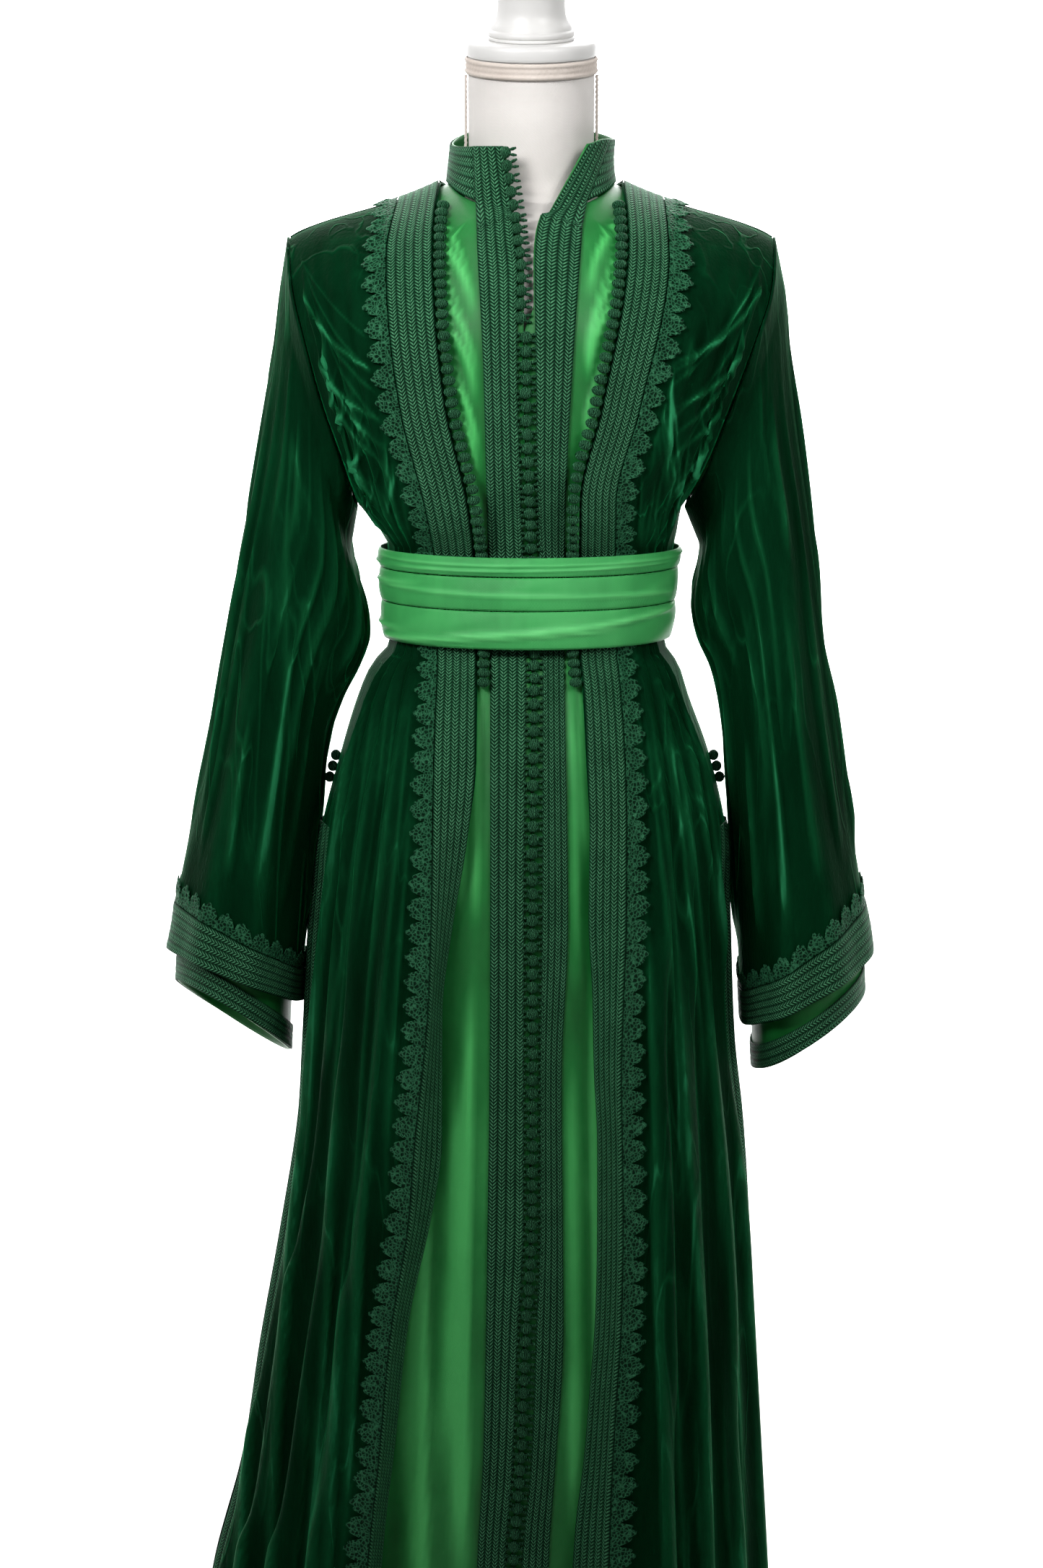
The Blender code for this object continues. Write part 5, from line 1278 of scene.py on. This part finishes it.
def knot_row(name, line, normal, pitch, width, height, loops, seed=0.0, node_name=None):
    """A row of knot buttons along a line of points, with a pair of loops on each side asked for."""
    rows = even_rows(line, pitch, 2)[1::2]
    centre, out = refine(line, rows), refine(normal, rows)
    ahead = refine(np.gradient(line, axis=0), rows)
    shape = knot_shape(pitch, width, height, loops)
    bm = bmesh.new()
    for k in range(len(rows)):
        n = unit(out[k])
        along = unit(ahead[k] - n * float(np.dot(ahead[k], n)))
        aside = np.cross(along, n)
        odd = uneven(2.7 * k, seed)
        turn = Matrix([list(aside), list(along), list(n)]).transposed().to_4x4()
        twist = Matrix.Rotation(0.16 * odd, 4, "Z")
        swell = Matrix.Diagonal((1 + 0.05 * odd, 1, 1 + 0.04 * odd, 1))
        place = Matrix.Translation(Vector(centre[k] + SHIFT + aside * 0.0005 * odd)) @ turn @ twist @ swell
        copy = shape.copy()
        copy.transform(place)
        bm.from_mesh(copy)
        bpy.data.meshes.remove(copy)
    mesh = mesh_of(name, bm)
    bpy.data.meshes.remove(shape)
    # Every knot gets the same small painted highlight.
    set_painted_highlight(mesh, np.full(len(mesh.vertices), KNOT_PAINTED_HIGHLIGHT))
    finished(name, mesh, "knots", node_name)
    print(f"{name}: {len(rows)} knots, {len(mesh.polygons)} faces")


# %% [markdown]
# Each front has its braid down the open edge, with the lace beside it and a column of knots in front.
# The slit has a narrower braid on each side. All of them read the creased panel, so they never float.

# %% The velvet fronts' trimmings
SLIT_BRAID_TOP_Z = 0.940
FRONT_KNOTS_Z = (1.062, 1.464)
KNOT_OUT = 0.0056


def rows_between(z, low, high):
    """The rows of a panel where the heights of one of its columns lie between two others."""
    return np.where((z <= high) & (z >= low))[0]


for name, side in SIDES:
    points, normal = FRONT[name]
    strip = slice(0, BRAID_COLUMNS)
    braid_strip(f"front_braid_{name}", points[:, strip], normal[:, strip], bands=5)
    side_lace(f"front_lace_{name}", points, normal, BRAID_COLUMNS - 1, LACE_END)
    rows = rows_between(points[:, -1, 2], HEM_Z, SLIT_BRAID_TOP_Z)
    braid_strip(f"slit_braid_front_{name}", points[rows][:, -STRIP_COLUMNS:],
                normal[rows][:, -STRIP_COLUMNS:], bands=3, lift=SLIT_LIFT)
    rows = rows_between(points[:, 0, 2], *FRONT_KNOTS_Z)
    edge = points[rows, 0] - moved_x(side * KNOT_OUT)
    satin = layer_depth("inner", np.abs(edge[:, 0]) - KNOT_OUT, edge[:, 2], side, "front")
    edge[:, 1] = -np.maximum(-edge[:, 1], satin + 0.0036)
    front = np.broadcast_to(np.array([0.0, -1.0, 0.0]), edge.shape)
    knot_row(f"front_knots_{name}", edge, front, OUTER_KNOT_PITCH, *FRONT_KNOT, (), side)

# %% The velvet back's trimmings
BACK_SLIT_COLUMNS = 9
BACK_NECK_BRAID = 0.032
rows = rows_between(BACK[:, -1, 2], HEM_Z, SLIT_BRAID_TOP_Z)
for name, near in (("left", slice(0, BACK_SLIT_COLUMNS)), ("right", slice(-BACK_SLIT_COLUMNS, None))):
    braid_strip(f"slit_braid_back_{name}", BACK[rows][:, near], BACK_NORMAL[rows][:, near], bands=3,
                lift=SLIT_LIFT)
half_neck = BACK_COLUMNS // 2
neck = slice(BACK_COLUMNS - half_neck, BACK_COLUMNS + half_neck + 1)
rows = np.where(BACK[:, BACK_COLUMNS, 2] > BACK[0, BACK_COLUMNS, 2] - BACK_NECK_BRAID)[0]
braid_strip("back_neck_braid", crosswise(BACK[rows][:, neck]), crosswise(BACK_NORMAL[rows][:, neck]), bands=4)

# %% The cuffs' trimmings
CUFF_FANS = 24
CUFF_FAN_STEPS = 14
for name, side in SIDES:
    points, normal = SLEEVE[name]
    band, turn = crosswise(points[-CUFF_ROWS:]), crosswise(normal[-CUFF_ROWS:])
    braid_strip(f"cuff_braid_{name}", band, turn, bands=5, around=True)
    angle = turns(CUFF_FANS * CUFF_FAN_STEPS)
    rings, wave = sleeve_grid(name, side, np.linspace(LACE_SHARE, BRAID_SHARE, 5), angle)
    turn = normals_of(rings, True)
    phase = (np.arange(len(angle)) % CUFF_FAN_STEPS) / CUFF_FAN_STEPS
    lace_strip(f"cuff_lace_{name}", rings[-1], rings[0], turn[-1], turn[0], phase, True, LIFT + 0.0002)


# %% [markdown]
# ## The satin caftan
# Under the velvet hangs a closed satin caftan. It shows down the middle, where a placket of two braids
# meets at a column of knots from the collar to the hem. The satin is drawn in by the sash, so soft
# creases run to the waist from the shoulders, and long ones fall from it.

# %% The satin fronts' points
SATIN_UPPER = 80
SATIN_LOWER = 84
NECK_ROWS = 20
PLACKET_COLUMNS = 10
SATIN_COLUMNS = 64


def inner_front(name, side):
    """Points of a satin front: its edge, the placket's braid, and the plain cloth to the side."""
    tip = INNER_ARM.key[-1]
    neck_x = np.linspace(INNER_NECK_X, 0.0300, NECK_ROWS)
    shares = np.linspace(0, 1, SATIN_UPPER) ** 1.2
    sides = blend(tip, INNER_UNDERARM_Z, shares)
    edge_z = np.linspace(1.4525, 1.214, SATIN_UPPER - NECK_ROWS)
    edges = [(x, float(NECKLINE("z", x))) for x in neck_x] + [(None, z) for z in edge_z]
    rows = [(x, z, z_side, True) for (x, z), z_side in zip(edges, sides)]
    rows += [(None, z, z, False) for z in np.linspace(1.205, HEM_Z, SATIN_LOWER)]
    part = np.linspace(0, 1, SATIN_COLUMNS + 1)
    angle = math.radians(78)
    steps = np.sin(angle * part) / math.sin(angle)
    points = []
    for x_neck, z_edge, z_side, above in rows:
        x_side = float((INNER_ARM if above else INNER)(name, z_side))
        if x_neck is None:
            right_edge = float(PLACKET("right_in", z_edge)) + 0.0045
            if side > 0:
                open_edge = float(PLACKET("left_in", z_edge)) - 0.0005
                opened = float(smoothstep(OPEN_PLACKET_Z - 0.012, OPEN_PLACKET_Z + 0.012, z_edge))
                x_edge = blend(right_edge + 2 * SEAM, open_edge, opened)
                band = [float(PLACKET("left_in", z_edge)), float(PLACKET("left_out", z_edge))]
            else:
                x_edge = -right_edge
                band = [-float(PLACKET("right_in", z_edge)), -float(PLACKET("right_out", z_edge))]
        else:
            x_edge = x_neck
            band = [x_neck + 0.001, x_neck + 0.006]
        band[0] = max(band[0], x_edge + 0.0004)
        x = np.concatenate(([x_edge], np.linspace(*band, PLACKET_COLUMNS), blend(band[1], x_side, steps)[1:]))
        z = row_height(x, x_edge, z_edge, x_side, z_side) if above else z_side + 0 * x
        y = np.maximum(layer_depth("inner", x, z, side, "front"), SEAM + 0.0004 * above)
        points.append(np.stack([side * x, -y, z], axis=1))
    return np.array(points)


def satin_creases(seed):
    """Soft creases from the shoulder towards the centre, into the sash, and down the front."""
    creases = []
    for k, odd in strays(11, 2.2, seed):
        z = 1.455 - 0.021 * k
        start, end = (0.078 - 0.0012 * k, z), (0.042 + 0.003 * odd, z - 0.085 + 0.015 * odd)
        creases.append((start, end, -0.006 - 0.002 * odd, 0.0030 + 0.0008 * odd, 0.0017 + 0.0007 * odd))
    for k, odd in strays(7, 3.1, seed):
        x = 0.030 + 0.012 * k
        creases.append(((x, 1.235 + 0.02 * odd), (x * 0.92, 1.165), 0.002 * odd, 0.0030, 0.0014))
        creases.append(((x, 1.085), (x * 1.08, 0.86 - 0.06 * odd), 0.003 * odd, 0.0045,
                        0.0022 + 0.0007 * odd))
    for k, odd in strays(8, 2.5, 3 * seed):
        x = 0.032 + 0.016 * k
        creases.append(((x, 0.80 + 0.06 * odd), (x * 1.15, 0.30 - 0.1 * odd), 0.006 * odd, 0.0070,
                        0.0030 + 0.0010 * odd))
    return creases


# %% The satin fronts' meshes
SATIN_FRONT = {}
for name, side in SIDES:
    points = inner_front(name, side)
    normal = normals_of(points)
    across, down = np.abs(points[:, :, 0]), points[:, :, 2]
    wrinkle = creased(across, down, satin_creases(1 + side))
    column = np.arange(points.shape[1])
    wrinkle = wrinkle * smoothstep(PLACKET_COLUMNS - 1, PLACKET_COLUMNS + 6, column)
    wrinkle = wrinkle * (1 - smoothstep(1.085, 1.097, down) * smoothstep(1.185, 1.172, down))
    points = points + normal * wrinkle[:, :, None]
    normal = normals_of(points)
    SATIN_FRONT[name] = (points, normal)
    # Painted highlights on the tops of the satin's creases.
    cloth(f"inner_front_{name}", points, normal, "satin", "hung", ["form_body"],
          crest_and_highlight=np.clip(wrinkle / 0.0020, 0, 1))

# %% [markdown]
# The satin's back and sleeves are hardly seen, so their grids are coarser. Each sleeve hangs inside
# the velvet one, a little smaller, and its braided cuff shows below.

# %% The satin's back and sleeves
points, crest_and_highlight = back_panel("inner", upper=30, lower=44, steps=18)
cloth("inner_back", points, normals_of(points), "satin", "hung", ["form_body"], crest_and_highlight=crest_and_highlight)

INNER_COLUMNS = 72
INNER_SLEEVE_ROWS = 34
INNER_CUFF_ROWS = 8
inner_angles = turns(INNER_COLUMNS)
for name, side in SIDES:
    near, far = INNER_DROP[name]
    rings = []
    for share in np.linspace(0, 0.95, INNER_SLEEVE_ROWS):
        if share < SLEEVE_START:
            start = arm_ring("inner", name, side, inner_angles)
            next_ring = sleeve_ring(name, side, SLEEVE_START, inner_angles, SLEEVE_GAP)
            rings.append(blend(start, next_ring, share / SLEEVE_START))
        else:
            rings.append(sleeve_ring(name, side, share, inner_angles, SLEEVE_GAP))
    braid_top = sleeve_ring(name, side, 1.0, inner_angles, SLEEVE_GAP,
                            (near - INNER_CUFF_BRAID, far - INNER_CUFF_BRAID))
    hem = sleeve_ring(name, side, 1.0, inner_angles, SLEEVE_GAP, (near, far))
    last = rings[-1]
    rings += [blend(last, braid_top, part) for part in np.linspace(0, 1, 7)[1:]]
    rings += [blend(braid_top, hem, part) for part in np.linspace(0, 1, INNER_CUFF_ROWS)[1:]]
    points = np.array(rings)
    normal = normals_of(points, True)
    cloth(f"inner_sleeve_{name}", points, normal, "satin", "hung", [f"inner_front_{name}"], True)
    braid_strip(f"inner_cuff_braid_{name}", crosswise(points[-INNER_CUFF_ROWS:]),
                crosswise(normal[-INNER_CUFF_ROWS:]), bands=3, around=True)

# %% The placket
for name, side in SIDES:
    points, normal = SATIN_FRONT[name]
    band = slice(1, PLACKET_COLUMNS + 1)
    braid_strip(f"placket_braid_{name}", points[NECK_ROWS:, band], normal[NECK_ROWS:, band], bands=4)

# %% [markdown]
# Below the bust the placket is closed: each knot sits between its two pairs of loops. Above, it is
# open, so the knots stand along the free edge of the wearer's right side, with their own loops only.

# %% The placket's knots
points, normal = SATIN_FRONT["right"]
line, out = points[NECK_ROWS:, 0] + normal[NECK_ROWS:, 0] * LIFT, normal[NECK_ROWS:, 0]
is_open = line[:, 2] > OPEN_PLACKET_Z - 0.008
closed_line, open_line = line[~is_open] + moved_x(0.0020), line[is_open] + moved_x(-0.0022)
knot_row("placket_knots", closed_line, out[~is_open], KNOT_PITCH, *CLOSED_KNOT, (-1, 1), 2.0)
knot_row("open_placket_knots", open_line, out[is_open], KNOT_PITCH, *OPEN_KNOT, (-1,), 1.0, "placket_knots")


# %% [markdown]
# ## The collar, the slits' knots and the sash
# The stand collar rises from the satin's neckline. It is cut in one strip, open at the front, and
# braided all over: rows of herringbone run round the neck, and the placket's own braid carries on up
# its front ends. The knots climb with it, along the wearer's right end.

# %% The collar
def neck_point(turn):
    """A point of the satin's neckline, by the turn round the neck."""
    x = -INNER_NECK_X * math.sin(math.radians(turn))
    side = 1.0 if x > 0 else -1.0
    if abs(turn) <= 90:
        z = float(NECKLINE("z", abs(x)))
        return np.array([x, -float(layer_depth("inner", abs(x), z, side, "front")), z])
    z = float(back_rim("inner", x))
    return np.array([x, float(layer_depth("inner", abs(x), z, side, "back")), z])


def collar_points(columns, rows):
    """Points of the collar, from its end on the wearer's right round the back to the left one."""
    points = np.zeros((rows, columns, 3))
    for k in range(columns):
        share = k / (columns - 1)
        facing = {}
        for key in ("base", "top"):
            first, last = COLLAR_ENDS[key]
            turn = blend(last, 360 + first, share)
            facing[key] = turn if turn <= 180 else turn - 360
        low = neck_point(facing["base"]) + np.array([0, 0, 0.0012])
        radius, height = float(COLLAR("radius", facing["top"])), float(COLLAR("top", facing["top"]))
        angle = math.radians(facing["top"])
        high = np.array([-radius * math.sin(angle), -radius * math.cos(angle), height])
        points[:, k] = blend(high, low, np.linspace(0, 1, rows)[:, None])
    return points


COLLAR_COLUMNS = 141
COLLAR_ROWS = 13
points = collar_points(COLLAR_COLUMNS, COLLAR_ROWS)
normal = normals_of(points)
cloth("collar", points, normal, "satin", "stretched", ["inner_back"])
END_COLUMNS = 13
middle = slice(END_COLUMNS - 1, -END_COLUMNS + 1)
braid_strip("collar_braid", crosswise(points[:, middle]), crosswise(normal[:, middle]), bands=5,
            thickness=BRAID * 0.8)
for name, side in SIDES:
    satin = SATIN_FRONT[name][0]
    ends = points[:, :END_COLUMNS] if name == "right" else points[:, ::-1][:, :END_COLUMNS]
    ends = read_across(ends, np.linspace(0, 1, PLACKET_COLUMNS))
    run = np.concatenate((ends, satin[NECK_ROWS:NECK_ROWS + 2, 1:PLACKET_COLUMNS + 1]))
    run = refine(run, np.linspace(0, len(run) - 1, 3 * len(run)))
    braid_strip(f"collar_end_braid_{name}", run, normals_of(run), bands=4, node_name="collar_braid")
edge = points[:, 0] + normal[:, 0] * LIFT + moved_x(0.0012)
knot_row("collar_knots", edge, normal[:, 0], KNOT_PITCH, *OPEN_KNOT, (-1,), 3.0, "placket_knots")


# %% [markdown]
# Above each slit three round knots sit one under the other on the side seam.

# %% The slits' knots
LOWEST_KNOT_Z = SLIT_TOP_Z + 0.014
SLIT_KNOT_PITCH = 0.0095
for name, side in SIDES:
    bm = bmesh.new()
    for k in range(3):
        z = LOWEST_KNOT_Z + SLIT_KNOT_PITCH * k
        x = side * (float(OUTER(name, z)) + 0.866 * KNOT_RADIUS - 0.0005)
        centre = np.array([x, 0.0, z]) + SHIFT
        add_ball(bm, centre, np.eye(3), (KNOT_RADIUS, KNOT_RADIUS, KNOT_RADIUS * 1.06), 20, 14)
    finished(f"slit_knots_{name}", mesh_of(f"slit_knots_{name}", bm), "knots")

# %% [markdown]
# The sash is one long satin scarf, wound flat round the waist. Three stretches of it show: a narrow
# one on top, one in the middle, and a wide one below that is folded up on the slant. Each is a ring of
# cloth with soft creases that run round it, and a rolled lower edge.

# %% The sash
SASH_COLUMNS = 220
SASH_ROWS = 15
SASH_CREASE = 0.0022
SLANTS = {
    "sash_upper": ((-1.5, 1.5, 0.0014, 0.32, 0.42, 0.0010), (-1.2, 1.3, 0.0016, 0.70, 0.60, 0.0010),
                   (1.2, 5.2, 0.0022, 0.20, 0.85, 0.0014)),
    "sash_middle": ((-1.6, 1.5, 0.0016, 0.30, 0.75, 0.0017), (2.0, 5.6, 0.0018, 0.7, 0.3, 0.0015)),
    "sash_lower": ((-1.5, 0.7, 0.0024, 0.88, 0.55, 0.0016), (-0.7, 1.5, 0.0030, 0.70, 0.10, 0.0019),
                   (2.4, 5.4, 0.0022, 0.25, 0.70, 0.0020))}

for name, low, high in SASH_BANDS:
    angle = turns(SASH_COLUMNS)
    wrapped = np.where(angle > math.pi, angle - 2 * math.pi, angle)
    points, crest_highlights = [], []
    for row in range(SASH_ROWS):
        t = row / (SASH_ROWS - 1)
        z = blend(high, low, t)
        bulge = -0.0006 * (1 - t) - 0.0002 * t + 0.0018 * math.sin(math.pi * t) ** 0.7
        crest_and_highlight = np.zeros(SASH_COLUMNS)
        for start, end, height, t_start, t_end, width in SLANTS[name]:
            for way in (angle, wrapped):
                share = (way - start) / (end - start)
                centre_t = blend(t_start, t_end, np.clip(share, 0, 1)) + 0.05 * np.sin(5 * share)
                ends = smoothstep(0, 0.15, share) * smoothstep(1, 0.85, share)
                mine = ends * np.exp(-((t - centre_t) * (high - low) / width) ** 2)
                crest_and_highlight = np.maximum(crest_and_highlight, mine * height / SASH_CREASE)
        crest_and_highlight = crest_and_highlight + 0.22 * uneven(1.6 * angle * 3, t * 2.0 + low * 40) * math.sin(math.pi * t)
        half = np.where(np.sin(angle) < 0, float(SASH("right", z)), float(SASH("left", z)))
        deep = np.where(np.cos(angle) > 0, float(SASH("front", z)), float(SASH("back", z)))
        rise = bulge + SASH_CREASE * crest_and_highlight
        points.append(oval(half + rise, deep + rise, z, angle))
        crest_highlights.append(crest_and_highlight)
    points, crest_and_highlight = np.array(points), np.array(crest_highlights)
    normal = normals_of(points, True)
    # Painted highlights on the tops of the sash's creases and small waves.
    cloth(name, points, normal, "sash", "gathered", ["outer_back"], True, np.clip(crest_and_highlight, 0, 1))


# %% [markdown]
# ## The dress form
# A limbless form, covered in pale jersey, carries the clothes on its shoulders. Little of it shows:
# the neck, with a twisted gimp down each side and round its top, and a turned cap with its finial.
# The neck's top leans a little forward, so cap, finial and ring are turned upright and then tipped.

# %% The form's body
FORM_COLUMNS = 96


def leaning_ring(radius, below, angle):
    """A ring round the neck, a distance below its tipped top."""
    y = -radius * np.cos(angle)
    return np.stack([radius * np.sin(angle), y * math.cos(NECK_LEAN) + below * math.sin(NECK_LEAN),
                     NECK_TOP_Z + y * math.sin(NECK_LEAN) - below * math.cos(NECK_LEAN)], axis=1)


form_heights = np.concatenate((np.linspace(0.780, 1.40, 40), np.linspace(1.40, 1.455, 12)[1:]))
angle = turns(FORM_COLUMNS)
rings = []
for z in form_heights:
    ring = []
    for turn in angle:
        across, ahead = math.sin(turn), math.cos(turn)
        name, side = SIDES[0] if across >= 0 else SIDES[1]
        face = "front" if ahead >= 0 else "back"
        reach = np.linspace(0, float(FORM(name, z)), 200)
        half = float(reach[SHOULDER("z", reach) - LAYERS["form"][1] > z][-1])
        y = float(layer_depth("form", abs(across) * half, z, side, face))
        ring.append((half * across, -y if face == "front" else y, z))
    rings.append(ring)
for z, radius in ((1.462, 0.0600), (1.470, 0.0525), (1.484, 0.0520), (1.500, 0.0524), (1.520, NECK_RADIUS),
                  (1.540, NECK_RADIUS)):
    rings.append(oval(radius, radius, z, angle))
for below in np.linspace(GIMP + 0.0030, 0.0, 4):
    rings.append(leaning_ring(NECK_RADIUS, below, angle))
points = np.array([np.array(ring) for ring in rings])
normal = normals_of(points, True)
body = grid_piece("form_body", points, normal, "form_cover", True)
bm = bmesh.new()
bm.from_mesh(body.data)
bmesh.ops.holes_fill(bm, edges=bm.edges[:], sides=0)
bmesh.ops.recalc_face_normals(bm, faces=bm.faces[:])
bm.to_mesh(body.data)
bm.free()
print("form_body:", len(body.data.polygons), "faces")


# %% The turned cap and the finial
TURNED_STEPS = 96


def turned(name, profile):
    """Spins a profile of (radius, height) round the pole's axis and tips it with the neck."""
    bm = bmesh.new()
    corners = [bm.verts.new((radius, 0, z)) for radius, z in profile]
    edges = [bm.edges.new(pair) for pair in zip(corners, corners[1:])]
    bmesh.ops.spin(bm, geom=corners + edges, cent=(0, 0, 0), axis=(0, 0, 1), angle=2 * math.pi,
                   steps=TURNED_STEPS, use_merge=True)
    bmesh.ops.remove_doubles(bm, verts=bm.verts[:], dist=MERGE)
    bmesh.ops.recalc_face_normals(bm, faces=bm.faces[:])
    tip = Matrix.Rotation(NECK_LEAN, 4, "X")
    lift = Matrix.Translation((STAND_X, STAND_Y, NECK_TOP_Z))
    bmesh.ops.transform(bm, matrix=lift @ tip, verts=bm.verts[:])
    mesh = mesh_of(name, bm)
    finished(name, mesh, "turned_wood")
    mesh.set_sharp_from_angle(angle=math.radians(50))
    print(f"{name}: {len(mesh.polygons)} faces")


CAP = ((0.0, 0.0134), (0.0440, 0.0134), (0.0462, 0.0131), (0.0470, 0.0127), (0.0478, 0.0131),
       (0.0500, 0.0133), (0.0520, 0.0128), (0.0534, 0.0114), (0.0541, 0.0092), (0.0545, 0.0060),
       (0.0545, 0.0030), (0.0543, 0.0010), (0.0538, 0.0004), (0.0, 0.0004))
FINIAL = Table(
    "z radius",
    (0.0225, 0.0350), (0.0250, 0.0335), (0.0310, 0.0300), (0.0400, 0.0285), (0.0520, 0.0290),
    (0.0680, 0.0320), (0.0850, 0.0345), (0.1000, 0.0290), (0.1080, 0.0215))
finial_profile = [(0.0, 0.1150), (0.0060, 0.1147), (0.0120, 0.1133), (0.0175, 0.1108)]
finial_profile += [(float(FINIAL("radius", z)), z) for z in np.linspace(0.1080, 0.0240, 30)]
finial_profile += [(0.0343, 0.0226), (0.0346, 0.0218), (0.0356, 0.0212), (0.0362, 0.0200), (0.0363, 0.0180),
                   (0.0358, 0.0168), (0.0352, 0.0163), (0.0358, 0.0158), (0.0362, 0.0148), (0.0358, 0.0137),
                   (0.0, 0.0137)]
turned("neck_cap", CAP)
turned("finial", finial_profile)

# %% [markdown]
# The gimp is a furnishing braid of two twisted cords with a row of small loops between. The ring is
# spun from a section with two round edges, and its twist is pressed into it as slanting waves.

# %% The gimp
def gimp_section(width, rise, count=13):
    """Distance across and height of the gimp: a cord at each edge and a low ridge between."""
    t = np.linspace(0, 1, count)
    cords = sum(tall * np.exp(-((t - middle) / size) ** 2)
                for middle, size, tall in ((0.16, 0.11, 1.0), (0.84, 0.11, 1.0), (0.5, 0.17, 0.55)))
    return t * width, 0.0006 + rise * np.clip(cords, 0, 1)


GIMP_STEPS = 216
GIMP_RING_WALL = 0.0008
GIMP_SIDE_WALL = 0.0005
down, out = gimp_section(GIMP - 0.0004, 0.0017)
angle = turns(GIMP_STEPS)
rings = []
for fall, rise in zip(down, out):
    wave = 0.00035 * np.sin(72 * angle + fall * 900) * min(1.0, rise / 0.001)
    rings.append(leaning_ring(NECK_RADIUS + 0.0008 + rise + wave, 0.0004 + fall, angle))
points = np.array(rings)
normal = normals_of(points, True)
grid_piece("neck_gimp", points, normal, "gimp", True, wall=GIMP_RING_WALL)

for name, side in SIDES:
    z = np.linspace(NECK_TOP_Z - GIMP - 0.0012, 1.487, 120)
    rest = np.interp(-z, (-1.540, -1.500, -1.487), (0.0, 0.0, 0.0006))
    across, rise = gimp_section(0.0084, 0.0026, 9)
    wave = 0.00030 * np.sin(z[:, None] * 1500 + across[None, :] * 700)
    x = side * (NECK_RADIUS + 0.0003 + rest[:, None] + rise[None, :] + wave)
    y = np.broadcast_to(across - 0.0042, x.shape)
    points = np.stack([x, y, np.broadcast_to(z[:, None], x.shape)], axis=2)
    normal = np.broadcast_to(np.array([side, 0.0, 0.0]), points.shape)
    grid_piece(f"neck_gimp_{name}", points, normal, "gimp", wall=GIMP_SIDE_WALL)

# %% [markdown]
# The pole and the round foot are right as solids. They are hidden by the skirts, so they stay, with
# the painted finish.

# %% The pole and the foot
for name in ("form_pole", "form_base"):
    solid = bpy.data.objects[name]
    solid.data.materials.clear()
    solid.data.materials.append(FINISHES["painted_steel"])

# %% [markdown]
# ## Studio
# The photo is a cut-out on white, so the floor is a pale sweep that curves up far behind, with two
# lights of its own. The kaftan is lit from left and right above the camera. Those beams are narrow and
# aimed at the chest, so that the light falls off towards the hem. Weak lights behind give the pile an
# edge and keep the back from going black.

# %% Floor and backdrop
bm = bmesh.new()
bmesh.ops.create_grid(bm, x_segments=2, y_segments=60, size=1.0)
for vert in bm.verts:
    along = (vert.co.y + 1) / 2
    bend = float(smoothstep(0.78, 1.0, along))
    vert.co = Vector((vert.co.x * 14.0, blend(-9.0, 14.0, along) - 2.0 * bend ** 2, 8.0 * bend ** 1.5))
sweep_mesh = mesh_of("studio_sweep", bm)
sweep_mesh.shade_smooth()
sweep_mesh.materials.append(new_material("pale paper", Roughness=0.9, Specular_IOR_Level=0.2,
                                         Base_Color=(0.90, 0.90, 0.90, 1.0))[0])
add_object("studio_sweep", sweep_mesh)


# %% Lights
def soft_light(name, place, target, size, watts, spread=180):
    light = bpy.data.lights.new(name, "AREA")
    light.shape = "RECTANGLE"
    light.size, light.size_y = size
    light.energy = watts
    light.spread = math.radians(spread)
    lamp = add_object(name, light)
    lamp.location = place
    lamp.rotation_euler = (Vector(target) - Vector(place)).to_track_quat("-Z", "Y").to_euler()


soft_light("key", (-1.3, -1.9, 2.75), (0, 0, 1.49), (1.1, 0.9), 6.1, 44)
soft_light("fill", (1.5, -2.0, 2.65), (0, 0, 1.46), (1.2, 1.0), 3.8, 46)
soft_light("top", (0.0, -0.5, 3.2), (0, 0, 1.2), (1.6, 1.0), 1.5, 120)
soft_light("rim_left", (2.2, 1.3, 2.0), (0, 0, 1.1), (0.7, 1.6), 9)
soft_light("rim_right", (-2.2, 1.3, 2.0), (0, 0, 1.1), (0.7, 1.6), 9)
soft_light("back", (0.5, 2.4, 2.9), (0, 0, 1.3), (1.2, 1.0), 2.5, 60)
soft_light("floor_behind", (0.0, 3.0, 3.6), (0, 4.2, 0.0), (6.0, 3.0), 560)
soft_light("wall_behind", (0.0, 8.4, 4.5), (0, 11.0, 0.6), (8.0, 3.0), 1700)
world = bpy.data.worlds.new("studio")
world.use_nodes = True
sky = world.node_tree.nodes["Background"].inputs
sky["Color"].default_value = (1.0, 1.0, 1.0, 1.0)
sky["Strength"].default_value = 0.08
bpy.context.scene.world = world
print("lights:", len(bpy.data.lights))

# %% [markdown]
# ## Camera
# The photo was taken from chest height, tipped down a little, with a longish lens. The frame is
# upright, so the sensor's height is what fixes the view.

# %% Camera
camera_data = bpy.data.cameras.new("photo_view")
camera_data.sensor_fit = "VERTICAL"
camera_data.sensor_height = 36.0
camera_data.lens = 89.0
CAMERA_TIP = 9.2
camera = add_object("photo_view", camera_data)
camera.location = (-0.0082 + STAND_X, -3.3 + STAND_Y, 1.5)
camera.rotation_euler = (math.radians(90 - CAMERA_TIP), 0, 0)
bpy.context.scene.camera = camera
bpy.context.scene.view_settings.view_transform = "Standard"
print("camera:", [round(value, 3) for value in camera.location], camera_data.lens, "mm")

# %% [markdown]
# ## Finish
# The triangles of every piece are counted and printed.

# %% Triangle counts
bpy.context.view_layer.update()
triangles = {}
depsgraph = bpy.context.evaluated_depsgraph_get()
for name, piece in PIECES.items():
    mesh = piece.evaluated_get(depsgraph).data
    triangles[name] = sum(len(polygon.vertices) - 2 for polygon in mesh.polygons)
print("pieces:", len(triangles), "triangles:", sum(triangles.values()), "largest:",
      sorted(triangles.items(), key=lambda item: -item[1])[:6])
